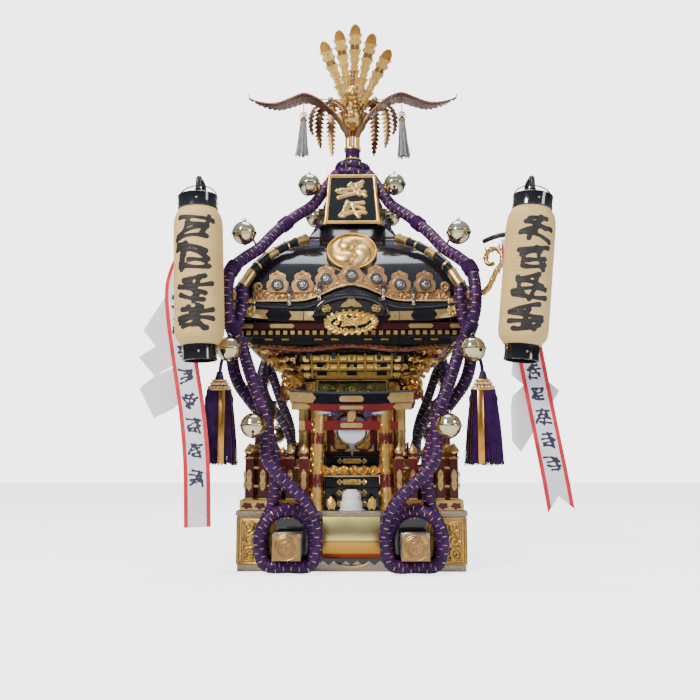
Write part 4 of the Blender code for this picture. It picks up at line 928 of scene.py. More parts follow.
def make_hall():
    paint("red", "hall_walls", "door_left", "door_right")
    hall = Piece("hall_fittings", "gold_plain", "gold", "red_bright", "black", smooth=45)
    hall.mark()
    low, high = 0.3713, 0.5647
    for x in (-0.172, 0.172):
        profile = [(0.0215, low), (0.0215, low + 0.012), (0.018, low + 0.017), (0.0186, low + 0.022),
                   (0.018, low + 0.03), (0.018, low + 0.08), (0.0192, low + 0.083), (0.0192, low + 0.091),
                   (0.018, low + 0.094), (0.018, high - 0.03), (0.0195, high - 0.026), (0.018, high - 0.018),
                   (0.021, high - 0.006), (0.021, high)]
        hall.lathe(profile, 72, at(x, -0.172, 0), 0,
                   wave=lambda a, z: 1 - 0.045 * (0.5 + 0.5 * cos(12 * a)) * (0.4 < z < 0.535))
    w, h, zc = 0.078, 0.085, 0.3835 + 0.085
    hall.box((-0.15, -0.1672, 0.556), (0.15, -0.165, 0.5645), kind=3)
    for sx in (-1, 1):
        left, right = sorted((sx * 0.0025, sx * (w - 0.001)))
        mid = (left + right) / 2
        for z0, z1 in ((zc - h + 0.004, zc - h + 0.014), (zc - 0.014, zc - 0.004),
                       (zc + h - 0.012, zc + h - 0.003)):
            hall.box((left + 0.001, -0.1662, z0), (right - 0.001, -0.1638, z1), kind=2)
        for x0, x1 in ((left, left + 0.009), (right - 0.009, right)):
            hall.box((x0, -0.1662, zc - h + 0.003), (x1, -0.1638, zc + h - 0.003), kind=2)
        for sz in (-1, 1):
            for cx, way in ((left, 1), (right, -1)):
                corner = [(0, 0), (way * 0.024, 0), (way * 0.019, sz * 0.0045), (way * 0.01, sz * 0.008),
                          (way * 0.007, sz * 0.017), (0, sz * 0.024)]
                hall.plate([(x, -y) for x, y in corner], 0.0014,
                           facing(cx + way * 0.0004, -0.1664, zc + sz * (h - 0.004)), 0)
        hall.relief(0.046, 0.06, rinceau(0.046, 0.06, 11, 0.012, 0.0018), 0.0024, 0.0016,
                    facing(mid, -0.164, zc - 0.044), 1)
        for k in range(9):
            for j in range(9):
                x0 = left + 0.012 + k * 0.0062
                z0 = zc + 0.003 + j * 0.008
                hall.box((x0, -0.1648, z0), (x0 + 0.0028, -0.1632, z0 + 0.0048), bevel=0, kind=1)
        left, right = sorted((sx * 0.086, sx * 0.15))
        hall.box((left, -0.1676, 0.386), (right, -0.1652, 0.552), kind=3)
        hall.relief(right - left - 0.006, 0.158, rinceau(right - left - 0.006, 0.158, 17, 0.017, 0.0022),
                    0.0026,
                    0.002, facing((left + right) / 2, -0.1678, 0.469), 1)
    hall.four()
    hall.done()
    make_mirror()


def make_mirror():
    disc = Piece("mirror_disc", "mirror", "gold_plain", smooth=60)
    place = at(0, -0.262, 0.467, rx=90)
    r = 0.064
    disc.lathe([(0.02, 0.0), (r * 0.96, 0.003), (r, 0.0065), (r, 0.0095), (r * 0.975, 0.012),
                (r * 0.955, 0.0105),
                (r * 0.93, 0.013), (r * 0.8, 0.0178), (r * 0.6, 0.0212), (r * 0.35, 0.0238), (0.004, 0.0248)],
               56, place)
    disc.tube([tuple(place @ Vector((r * 0.945 * cos(TAU * k / 60), r * 0.945 * sin(TAU * k / 60), 0.0125)))
               for k in range(61)], 0.0012, 6, kind=1)
    disc.done("mirror")
    ties = Piece("mirror_ties", "lavender", smooth=60)
    for sx in (-1, 1):
        rope = line([(sx * 0.047, -0.268, 0.508), (sx * 0.058, -0.276, 0.518), (sx * 0.078, -0.292, 0.519),
                     (sx * 0.097, -0.304, 0.518)], 0.004)
        for shift in (0.0, 0.004):
            ties.tube([(x, y + shift, z - shift * 1.2) for x, y, z in rope], 0.0034, 8)
        for k in range(3):
            ties.tube([(sx * 0.052 + 0.008 * cos(a), -0.272 + 0.006 * sin(a) * 0.7,
                        0.511 + 0.0022 * k + 0.008 * sin(a)) for a in np.linspace(0, TAU, 13)], 0.003, 7)
        ties.tube(line([(sx * 0.054, -0.276, 0.506), (sx * 0.06, -0.283, 0.49), (sx * 0.055, -0.284, 0.47)],
                       0.004),
                  0.0036, 8)
        ties.tube([(sx * 0.096 + 0.0235 * cos(a), -0.33 + 0.0245 * sin(a), 0.508 + 0.001 * a)
                   for a in np.linspace(0, TAU, 25)], 0.0042, 8)
    ties.tube(line([(0, -0.266, 0.412), (0, -0.262, 0.398), (0, -0.24, 0.385), (0, -0.216, 0.375)], 0.005),
              0.0042, 8)
    for k in range(3):
        ties.tube([(0.0075 * cos(a), -0.27 + 0.005 * sin(a), 0.405 + 0.004 * k) for a in
                   np.linspace(0, TAU, 13)], 0.0032, 7)
    ties.done()


def cluster(piece, centre, size, seed, count=9, place=None, kind=0):
    """A carved knot of overlapping scrolled lobes, as on beast-head nosings and cloud carvings."""
    pick = random.Random(seed)
    c = Vector(centre)
    for k in range(count):
        a, b = pick.uniform(0, TAU), pick.uniform(-0.9, 0.9)
        off = Vector((cos(a) * size[0] * 0.55 * sqrt(1 - b * b * 0.5), sin(a) * size[1] * 0.55,
                      b * size[2] * 0.55))
        r = min(size) * pick.uniform(0.3, 0.46)
        turns = []
        for t in range(15):
            w = t / 14
            ang = a + w * TAU * 1.15
            rr = r * (1 - 0.82 * w)
            turns.append(tuple(c + off + Vector((rr * cos(ang), rr * 0.4 * sin(ang * 0.5) - 0.2 * r * w,
                                                 rr * sin(ang)))))
        piece.tube(turns, taper(r * 0.34, 0.5, 15, 14), 6, place, kind)
    ball = []
    for i in range(7):
        u = -pi / 2 + pi * i / 6
        ball.append((max(1e-4, cos(u)), sin(u)))
    m = Matrix.Translation(c) @ Matrix.Diagonal((size[0] * 0.42, size[1] * 0.42, size[2] * 0.46, 1))
    piece.lathe(ball, 12, (place or HERE) @ m, kind, close=False)


def make_head_frame():
    paint("black", "frieze")
    frieze = Piece("frieze_carving", "green_gold", "gold_plain", "black", "brown", "gold", smooth=55)
    frieze.mark()
    low, high = 0.5655, 0.64
    half = 0.188
    pick = random.Random(5)
    marks = []
    for k in range(15):
        x = -0.108 + 0.0155 * k
        marks.append(spiral(x, pick.uniform(-0.016, 0.018), pick.uniform(0.008, 0.012), 1.4, k, (-1) ** k,
                            None,
                            0.003, 30))
        marks.append(([(x + 0.0018 * t, -0.03 + 0.0036 * t + 0.003 * sin(t + k)) for t in range(9)],
                      [0.0034 - 0.0002 * t for t in range(9)]))
    for cx, cy, r in ((-0.07, 0.008, 0.013), (0.0, 0.002, 0.016), (0.066, 0.01, 0.012)):
        marks.append(([(cx + r * 0.5 * cos(t), cy + r * 0.5 * sin(t)) for t in np.linspace(0, TAU, 14)],
                      r * 0.55))
    frieze.relief(0.236, 0.064, marks, 0.0125, 0.0016, facing(0, -half + 0.0105, 0.6035), 0, base=0.0018)
    for z0, z1 in ((low, low + 0.005), (high - 0.0048, high)):
        frieze.box((-0.128, -half - 0.001, z0), (0.128, -half + 0.004, z1), kind=1)
    for x in (-0.124, 0.124):
        frieze.box((x - 0.0045, -half - 0.0012, low), (x + 0.0045, -half + 0.006, high), kind=1)
    for sx in (-1, 1):
        frieze.relief(0.05, 0.058, rinceau(0.05, 0.058, 23 + sx, 0.012, 0.0022), 0.004, 0.0018,
                      facing(sx * 0.156, -half - 0.0006, 0.603), 4)
    reach = half * sqrt(2)
    head = Matrix.Rotation(pi / 4, 4, "Z")
    for z, out, s in ((0.6, 0.03, 1.0), (0.588, 0.046, 0.72)):
        cluster(frieze, (0, -(reach + out), z), (0.05 * s, 0.06 * s, 0.056 * s), 31 + int(z * 1000), 12,
                head, 3 if s < 1 else 4)
    for sx in (-1, 1):
        trunk = line([(sx * 0.006, -(reach + 0.04), 0.612), (sx * 0.01, -(reach + 0.062), 0.606),
                      (sx * 0.006, -(reach + 0.064), 0.592), (sx * 0.004, -(reach + 0.058), 0.582)], 0.004)
        frieze.tube(trunk, taper(0.0062, 0.5, len(trunk)), 8, head, 4)
        frieze.tube(line([(sx * 0.018, -(reach + 0.02), 0.622), (sx * 0.03, -(reach + 0.012), 0.634),
                          (sx * 0.026, -(reach - 0.004), 0.64)], 0.004), 0.0042, 7, head, 3)
        frieze.lathe([(0.0036, -0.002), (0.004, 0.0), (0.002, 0.0026)], 10,
                     head @ at(sx * 0.014, -(reach + 0.05), 0.615, rx=90), 1)
    frieze.four()
    frieze.done()
    make_brackets()


def block(piece, x, y, z, size, place=None, kind=0):
    """A bearing block: square above, flared in below."""
    s = size / 2
    piece.lathe([(s * 0.66 * 1.414, z), (s * 0.72 * 1.414, z + size * 0.12), (s * 1.414, z + size * 0.42),
                 (s * 1.414, z + size * 0.86)], 4, (place or HERE) @ Matrix.Translation((x, y, 0))
                @ Matrix.Rotation(pi / 4, 4, "Z"), kind)


def make_brackets():
    """Three tiers of gilt bearing blocks and arms, carved waves above, and cloud carving at the corners."""
    paint("black", "brackets")
    # The eaves take the deep shadow finish: painted shade under the roof.
    paint("dark", "eaves")
    work = Piece("bracket_work", "gold_light", "black", "brown", "bronze", "red", "grey_blue", "gold",
                 smooth=30)
    work.mark()
    tiers = (0.205, 0.235, 0.262, 0.286)
    low, high = 0.6403, 0.745
    tier = (high - low) / len(tiers)
    bays = (-0.093, 0.0, 0.093)
    for k, half in enumerate(tiers[:3]):
        z0, y = low + tier * k, -half
        for x in bays:
            work.box((x - 0.0425, y - 0.005, z0 + 0.0012), (x + 0.0425, y + 0.004, z0 + tier - 0.0006),
                     kind=6)
            if k == 0:
                fan = [(-0.041, 0), (0.041, 0), (0.041, 0.0035), (0.021, 0.0105), (0.0125, 0.024),
                       (-0.0125, 0.024), (-0.021, 0.0105), (-0.041, 0.0035)]
                work.plate(fan, 0.013, facing(x, y + 0.004, z0 + 0.0015), 0, edge=0.0012)
                for sx in (-1, 1):
                    work.box((x + sx * 0.0285 - 0.0085, y - 0.012, z0 + 0.0125),
                             (x + sx * 0.0285 + 0.0085, y, z0 + 0.0245), kind=0)
            else:
                for dx, s in ((-0.03, 0.0235), (0.0, 0.0275), (0.03, 0.0235)):
                    block(work, x + dx, y - 0.0035, z0 + 0.0015, s, kind=0)
                arm = [(-0.042, 0.0), (0.042, 0.0), (0.044, 0.0075), (0.02, 0.0075), (0.015, 0.0045),
                       (-0.015, 0.0045), (-0.02, 0.0075), (-0.044, 0.0075)]
                work.plate(arm, 0.015, facing(x, y + 0.001, z0 + 0.0006), 0, edge=0.001)
                work.box((x - 0.0065, y - 0.0245, z0 + 0.005), (x + 0.0065, y, z0 + 0.0195), kind=0)
        for x in (-0.1395, -0.0465, 0.0465, 0.1395):
            work.box((x - 0.0034, y - 0.0185, z0 + 0.001), (x + 0.0034, y, z0 + tier + 0.003), kind=0)
            work.box((x - 0.0062, y - 0.0215, z0 + 0.009), (x + 0.0062, y, z0 + 0.0185), kind=0)
        for sx in (-1, 1):
            work.box((sx * 0.163 - 0.0175, y - 0.006, z0 + 0.0015),
                     (sx * 0.163 + 0.0175, y, z0 + tier - 0.001), kind=3)
            block(work, sx * 0.158, y - 0.004, z0 + 0.0015, 0.0235, kind=0)
    for x in (-0.15, -0.062, 0.094, 0.15):
        work.lathe([(0.0068, 0.0), (0.0068, 0.02), (0.004, 0.026)], 12, at(x, -0.292, 0.7), 5)
    half = tiers[3]
    z0 = low + tier * 3
    pick = random.Random(9)
    for k in range(36):
        x = -0.31 + 0.62 * (k + 0.5) / 36
        z = z0 + 0.014 + 0.014 * cos(x * 9.5) ** 2
        y = -half - 0.034
        r = pick.uniform(0.009, 0.015)
        turns = [(x + r * (1 - 0.7 * t / 13) * cos(t * 0.5 + k), y - 0.0008 * t,
                  z + 0.62 * r * (1 - 0.7 * t / 13) * sin(t * 0.5 + k)) for t in range(14)]
        work.tube(turns, taper(0.0054, 0.45, 14, 13), 6, None, 2)
    work.tube([(x, -half - 0.03, z0 + 0.012 + 0.014 * cos(x * 9.5) ** 2)
               for x in np.linspace(-0.31, 0.31, 60)],
              0.0088, 8, None, 2)
    diag = Matrix.Rotation(pi / 4, 4, "Z")
    root = sqrt(2)
    for k, half in enumerate(tiers):
        z0 = low + tier * k
        work.box((-0.011, -half * root - 0.02, z0 + 0.006), (0.011, -half * root + 0.04, z0 + 0.0225), diag,
                 kind=2)
        work.box((-0.0118, -half * root - 0.0225, z0 + 0.005), (0.0118, -half * root - 0.016, z0 + 0.0235),
                 diag, kind=3)
        cluster(work, (0, -half * root - 0.01, z0 + 0.01), (0.05, 0.04, 0.022), 40 + k, 9, diag, 6)
        for sx in (-1, 1):
            for j in range(3):
                x, y = sx * (half - 0.012 - 0.022 * j), -half - 0.008
                cluster(work, (x, y, z0 + 0.012), (0.028, 0.018, 0.02), 60 + 7 * k + j, 5, None,
                        2 if (j + k) % 3 == 2 else 6)
            flame = line([(sx * (half - 0.03), -half - 0.014, z0 + 0.004),
                          (sx * (half - 0.006), -half - 0.02, z0 + 0.008),
                          (sx * (half + 0.008), -half - 0.018, z0 + 0.018),
                          (sx * (half + 0.004), -half - 0.014, z0 + 0.026)],
                         0.004)
            work.tube(flame, taper(0.0066, 0.6, len(flame)), 8, None, 6 if k < 3 else 2)
    work.four()
    work.done()


def make_eaves():
    eaves = Piece("rafters", "dark", "gold_plain", "red_deep", "gold", "brown", smooth=30)
    eaves.mark()
    z, half, count, size = 0.7795, 0.385, 31, 0.0122
    # The rafter bodies take the deep shadow finish: painted shade under the eaves. Only their gilt caps show
    # colour.
    for k in range(count):
        x = (-1 + 2 * (k + 0.5) / count) * (half - 0.004)
        eaves.box((x - size / 2, -half, z - size / 2), (x + size / 2, -half + 0.06, z + size / 2), kind=0)
        eaves.box((x - size / 2 - 0.0006, -half - 0.003, z - size / 2 - 0.0006),
                  (x + size / 2 + 0.0006, -half + 0.008, z + size / 2 + 0.0006), bevel=0.001, kind=1)
    for k in range(13):
        x = -0.335 + 0.67 * k / 12
        if k % 3:
            eaves.box((x - 0.013, -0.3585, 0.7575), (x + 0.013, -0.35, 0.764), kind=3)
    half = 0.39
    # The board under the eaves takes the darker red: painted shade under the roof's overhang.
    eaves.box((-half - 0.0015, -half - 0.0015, 0.7895), (half + 0.0015, -half + 0.01, 0.8126), kind=2)
    for x, w in ((-0.232, 0.042), (0.232, 0.042), (-0.358, 0.032), (0.358, 0.032)):
        eaves.plate(pointed(w - 0.006, 0.0072, 0.006), 0.0014, facing(x, -half - 0.0013, 0.8005), 1)
    eaves.four()
    eaves.done()


# Cords, bells, tassels

CORD_DIAMETER = 0.042
CORD_ROUTE = (
    (-0.062, -0.066, 1.44), (-0.099, -0.12, 1.369), (-0.143, -0.18, 1.284), (-0.204, -0.24, 1.221),
    (-0.267, -0.31, 1.143), (-0.311, -0.37, 1.073), (-0.353, -0.43, 1.024), (-0.389, -0.474, 0.974),
    (-0.4, -0.496, 0.903), (-0.395, -0.504, 0.829), (-0.38, -0.484, 0.775), (-0.356, -0.456, 0.725),
    (-0.334, -0.458, 0.66), (-0.312, -0.466, 0.596), (-0.288, -0.47, 0.535), (-0.273, -0.468, 0.478),
    (-0.27, -0.466, 0.421), (-0.266, -0.472, 0.365), (-0.232, -0.476, 0.314), (-0.18, -0.476, 0.266),
    (-0.133, -0.474, 0.21), (-0.11, -0.47, 0.147), (-0.112, -0.462, 0.08), (-0.13, -0.458, 0.03),
    (-0.2, -0.452, 0.026), (-0.268, -0.45, 0.03), (-0.287, -0.45, 0.08), (-0.283, -0.45, 0.14),
    (-0.25, -0.444, 0.184), (-0.198, -0.424, 0.196), (-0.15, -0.407, 0.174), (-0.122, -0.404, 0.12),
    (-0.122, -0.404, 0.062), (-0.14, -0.404, 0.028), (-0.2, -0.404, 0.026), (-0.266, -0.404, 0.03),
    (-0.284, -0.404, 0.08), (-0.28, -0.404, 0.15), (-0.256, -0.405, 0.205), (-0.246, -0.408, 0.262),
    (-0.246, -0.414, 0.342), (-0.262, -0.416, 0.422), (-0.294, -0.417, 0.502), (-0.334, -0.418, 0.556),
    (-0.368, -0.418, 0.604), (-0.388, -0.41, 0.66), (-0.394, -0.404, 0.722), (-0.384, -0.426, 0.772),
    (-0.368, -0.45, 0.815), (-0.358, -0.45, 0.865), (-0.358, -0.446, 0.92))


def braid(piece, path, radius, sides, kinds=(0, 1, 2), seed=0):
    """A round plaited cord: slanted ribs run round it, and short gold threads cross it in staggered rows."""
    raw = np.asarray(path, float)
    walk = np.concatenate([[0], np.cumsum(np.linalg.norm(np.diff(raw, axis=0), axis=1))])
    row, thread = 0.0128, 0.0019
    stops, marks = [], []
    for k in range(int(walk[-1] / row)):
        stops += [k * row, k * row + thread, k * row + thread + (row - thread) * 0.34,
                  k * row + thread + (row - thread) * 0.67]
        marks += [True, False, False, False]
    stops.append(walk[-1])
    marks.append(False)
    pts = np.column_stack([np.interp(stops, walk, raw[:, axis]) for axis in range(3)])
    n = len(pts)
    along = np.gradient(pts, axis=0)
    along /= np.linalg.norm(along, axis=1)[:, None] + 1e-12
    a = np.cross(along[0], (0.3, 1.0, 0.1))
    sway = np.arange(sides) * TAU / sides
    verts, made = [], []
    for i in range(n):
        a = a - along[i] * a.dot(along[i])
        a /= np.linalg.norm(a) + 1e-12
        b = np.cross(along[i], a)
        rib = np.abs(np.sin(pi * stops[i] / row + sway))
        r = radius * (0.9 + 0.095 * rib ** 0.6 + (0.012 if marks[i] else 0.0))
        verts.append(pts[i] + r[:, None] * (np.cos(sway)[:, None] * a + np.sin(sway)[:, None] * b))
    pick = random.Random(seed)
    # Faces in the grooves between the ribs take the second finish, a darker silk: painted shade in the
    # grooves. Staggered faces in the thread rows take the gold thread.
    for i in range(n - 1):
        shift = pick.randrange(2) if marks[i] else 0
        level = i // 4
        for k in range(sides):
            if marks[i] and (k + 3 * level + shift) % 6 < 2:
                made.append(kinds[2])
            else:
                made.append(kinds[1] if abs(sin(pi * stops[i] / row + sway[k])) < 0.3 else kinds[0])
    piece.put(np.concatenate(verts), bands(n, sides) + caps(n, sides), None, made + [kinds[0]] * 2)


def bell(piece, place, kind=0, dark=1):
    r = 0.0395
    low = [(r * cos(radians(a)), r * sin(radians(a))) for a in range(-88, -3, 9)]
    high = [(r * cos(radians(a)), r * sin(radians(a))) for a in range(5, 89, 9)]
    rim = [(r * 1.01, -0.003), (r * 1.075, -0.0022), (r * 1.085, 0.0), (r * 1.075, 0.0022), (r * 1.01, 0.003)]
    piece.lathe([*low, *rim, *high], 30, place, kind)
    # The slot and the holes at its ends take the deep shadow finish: painted shade for the inside of the bell
    # seen through them.
    arc = [(r * 1.004 * sin(radians(a)), 0, -r * 1.004 * cos(radians(a))) for a in range(-58, 59, 6)]
    piece.tube(arc, 0.0022, 6, place @ Matrix.Rotation(0.5, 4, "Z"), dark)
    for a in (-60, 60):
        p = (r * 1.002 * sin(radians(a)), 0, -r * 1.002 * cos(radians(a)))
        piece.lathe([(0.005, -0.001), (0.005, 0.0006)], 12, place @ Matrix.Rotation(0.5, 4, "Z")
                    @ Matrix.Translation(p) @ Matrix.Rotation(radians(180 - a), 4, "Y"), dark)
    loop = [(0.0065 * cos(t), 0, r + 0.004 + 0.0065 * sin(t)) for t in np.linspace(-0.6, pi + 0.6, 14)]
    piece.tube(loop, 0.0018, 6, place, kind)


BELLS = ((0.155, -0.205, 1.352), (0.36, -0.413, 1.114), (0.386, -0.518, 0.706), (0.304, -0.53, 0.464))
BACK_BELLS = (*BELLS[:2], (0.402, -0.49, 0.706), (0.335, -0.488, 0.464))


def make_cords():
    for index, (name, sx, sy) in enumerate((("front_left", 1, 1), ("front_right", -1, 1),
                                            ("back_right", -1, -1),
                                            ("back_left", 1, -1))):
        path = line(CORD_ROUTE, 0.0042) * (sx, sy, 1)
        path[:, 2] = np.maximum(path[:, 2], 0.0215)
        # The back cords take the darker silk as their main colour: painted shade, a shaded copy of the front
        # cords' purple.
        cord = Piece(f"braided_cord_{name}", "cord" if sy > 0 else "cord_dark", "cord_dark", "fleck",
                     smooth=70)
        braid(cord, path, CORD_DIAMETER / 2, sides=18 if sy > 0 else 14, seed=index)
        made = cord.done(f"cord_{name}", slot="purple_cord", whole=True)
        side = "left" if sx > 0 else "right"
        bells = Piece(f"bells_{name}", "bell", "dark", "cord", "fleck", smooth=50)
        for x, y, z in BELLS if sy > 0 else BACK_BELLS:
            x, y = -sx * x, sy * y
            bell(bells, at(x, y, z, rz=37 * x * 10))
            near = path[np.argmin(np.linalg.norm(path - np.array((x, y, z + 0.03)), axis=1))]
            tie = line([near, (np.array(near) + (x, y, z + 0.045)) / 2 + (0, 0, -0.004), (x, y, z + 0.044)],
                       0.004)
            bells.tube(tie, 0.0034, 7, None, 2)
        for share in (0.105, 0.2, 0.262):
            mid = int(len(path) * share)
            for j in range(5):
                p = path[mid + j * 2]
                ring = aimed(p, path[mid + j * 2 + 1] - p)
                bells.tube(hoop(0, 0, 0, 0.0215, 0.0215, 21), 0.0042, 6, ring, 2)
        nodes = [f"bell_{place}_{side}" for place in ("upper", "ridge", "eave", "low")] if sy > 0 else []
        hung = bells.done(*nodes, slot="bell_brass")


def make_tassels():
    """Two flat fringed tassels: netted head, gold strips, a purple skirt of threads with dark ends."""
    for name, side in (("left", -1), ("right", 1)):
        tassel = Piece(f"fringe_tassel_{name}", "cord", "cord_dark", "gold_light", "pink", "amber", smooth=60)
        cx, cy, z0 = side * 0.4175, -0.5, 0.34
        pick = random.Random(11 + side)
        body = [(0.048, 0.007, 0.03), (0.052, 0.008, 0.1), (0.044, 0.0095, 0.17), (0.046, 0.012, 0.212),
                (0.032, 0.0135, 0.248), (0.014, 0.012, 0.276), (0.009, 0.009, 0.296)]
        rings = []
        for wide, deep, z in body:
            rings.append([(wide * cos(TAU * k / 20), deep * sin(TAU * k / 20), z) for k in range(20)])
        tassel.lathe([(1, 0), (1, 0.001)], 4, Matrix.Translation((cx, cy, z0 + 0.1)) @ Matrix.Scale(0.002, 4),
                     1)
        skin(tassel, rings, Matrix.Translation((cx, cy, z0)), 1)
        for k in range(64):
            t = -1 + 2 * (k + 0.5) / 64
            for layer in (-1, 1):
                top = (cx + t * 0.037, cy + layer * (0.01 + 0.004 * (1 - t * t)), z0 + 0.238)
                mid = (cx + t * 0.051, cy + layer * 0.0105, z0 + 0.125)
                low = (cx + t * 0.06 + pick.uniform(-0.0025, 0.0025), cy + layer * 0.0075,
                       z0 + pick.uniform(0.0, 0.012))
                kind = 1 if pick.random() < 0.22 else 0
                tassel.tube(line([top, mid, low], 0.022), 0.00135, 4, None, kind)
                tassel.tube([low, (low[0], low[1], low[2] + 0.01)], 0.0018, 4, None, 1)
        near = cx - side * 0.011
        tassel.box((near - 0.01, cy - 0.017, z0 + 0.006), (near + 0.01, cy - 0.0152, z0 + 0.236), kind=4)
        for t in (0.8 * -side, 0.94 * -side):
            strip = line([(cx + t * 0.04, cy - 0.016, z0 + 0.236), (cx + t * 0.051, cy - 0.015, z0 + 0.13),
                          (cx + t * 0.058, cy - 0.012, z0 + 0.006)], 0.01)
            tassel.tube(strip, 0.003, 8, None, 2, flat=0.22)
        for row in range(2):
            z = 0.246 + 0.012 * row
            wide = float(np.interp(z, [b[2] for b in body], [b[0] for b in body]))
            deep = float(np.interp(z, [b[2] for b in body], [b[1] for b in body]))
            for k in range(9):
                a = pi * (1 + (k + 0.5 * (row % 2) + 0.25) / 9)
                p = (cx + wide * cos(a), cy + deep * 1.1 * sin(a), z0 + z)
                tassel.lathe([(0.0042, -0.0022), (0.0054, 0.0), (0.003, 0.0022)], 8,
                             Matrix.Translation(p) @ Matrix.Rotation(pi / 2, 4, "X"),
                             3 if (k + row) % 2 else 2)
        for z, r in ((0.239, 0.037), (0.268, 0.022)):
            tassel.tube(hoop(cx, cy, z0 + z, r, 0.0145, 25), 0.003, 6, None, 2)
        tassel.tube(line([(cx, cy, z0 + 0.285), (cx - side * 0.006, cy, z0 + 0.33),
                          (side * 0.394, -0.486, 0.715)],
                         0.01), 0.0055, 8, None, 0)
        tassel.done(f"tassel_{name}", slot="purple_cord")


# Lanterns, streamers, ribbons

def inked(name, paper, ink, rough):
    """Paper or cloth with brush strokes from the mesh's ink values."""
    made = finish(name, paper, rough, second=tuple(c * 0.9 for c in paper), vary=14, bump=0.25, grain=320)
    tree = made.node_tree
    shader = tree.nodes["Principled BSDF"]
    source = add(tree, "Attribute", attribute_name="ink")
    edge = add(tree, "MapRange", {1: 0.44, 2: 0.56}, {0: source.outputs["Fac"]})
    tone = shader.inputs["Base Color"].links[0].from_socket
    mix = add(tree, "Mix", {7: (*ink, 1)}, {0: edge.outputs[0], 6: tone}, data_type="RGBA")
    tree.links.new(mix.outputs[2], shader.inputs["Base Color"])
    return made


def strokes(seed, width, height, count=7, thick=0.006):
    """A group of bold brush strokes that spell nothing: slanting bars with two leaning sweeps."""
    pick = random.Random(seed)
    made = []
    for k in range(count):
        if k < count - 2:
            cy = height * (0.42 - 0.84 * (k + 0.5) / (count - 2)) + pick.uniform(-0.03, 0.03) * height
            cx = pick.uniform(-0.13, 0.13) * width
            way = pick.uniform(0.04, 0.3) * pick.choice((1, 1, -1))
            reach = pick.uniform(0.42, 0.96) * width
        else:
            cx, cy = pick.uniform(-0.3, 0.3) * width, pick.uniform(-0.12, 0.12) * height
            way = pi / 2 + pick.choice((-0.45, 0.38, 0.62, -0.24))
            reach = pick.uniform(0.55, 0.9) * height
        bow = pick.uniform(-0.1, 0.1) * reach
        points, widths = [], []
        for t in range(21):
            u = t / 20 - 0.5
            x = cx + u * reach * cos(way) - bow * (1 - 4 * u * u) * sin(way)
            y = cy + u * reach * sin(way) + bow * (1 - 4 * u * u) * cos(way)
            points.append((max(-width / 2, min(width / 2, x)), max(-height / 2, min(height / 2, y))))
            widths.append(thick * (1.06 - 0.34 * abs(sin(3.1 * t / 20))))
        made.append((points, widths))
    return made


def ink_of(flat, marks):
    """1 inside the strokes and 0 outside, with a soft rim."""
    value = np.zeros(len(flat))
    for points, widths in marks:
        for p, w in zip(points, widths):
            d = np.hypot(flat[:, 0] - p[0], flat[:, 1] - p[1])
            value = np.maximum(value, np.clip(0.5 + (w - d) / 0.005, 0, 1))
    return value


def set_ink(obj, values):
    layer = obj.data.attributes.new("ink", "FLOAT", "POINT")
    layer.data.foreach_set("value", np.asarray(values, float))


LANTERN_Y = -0.6


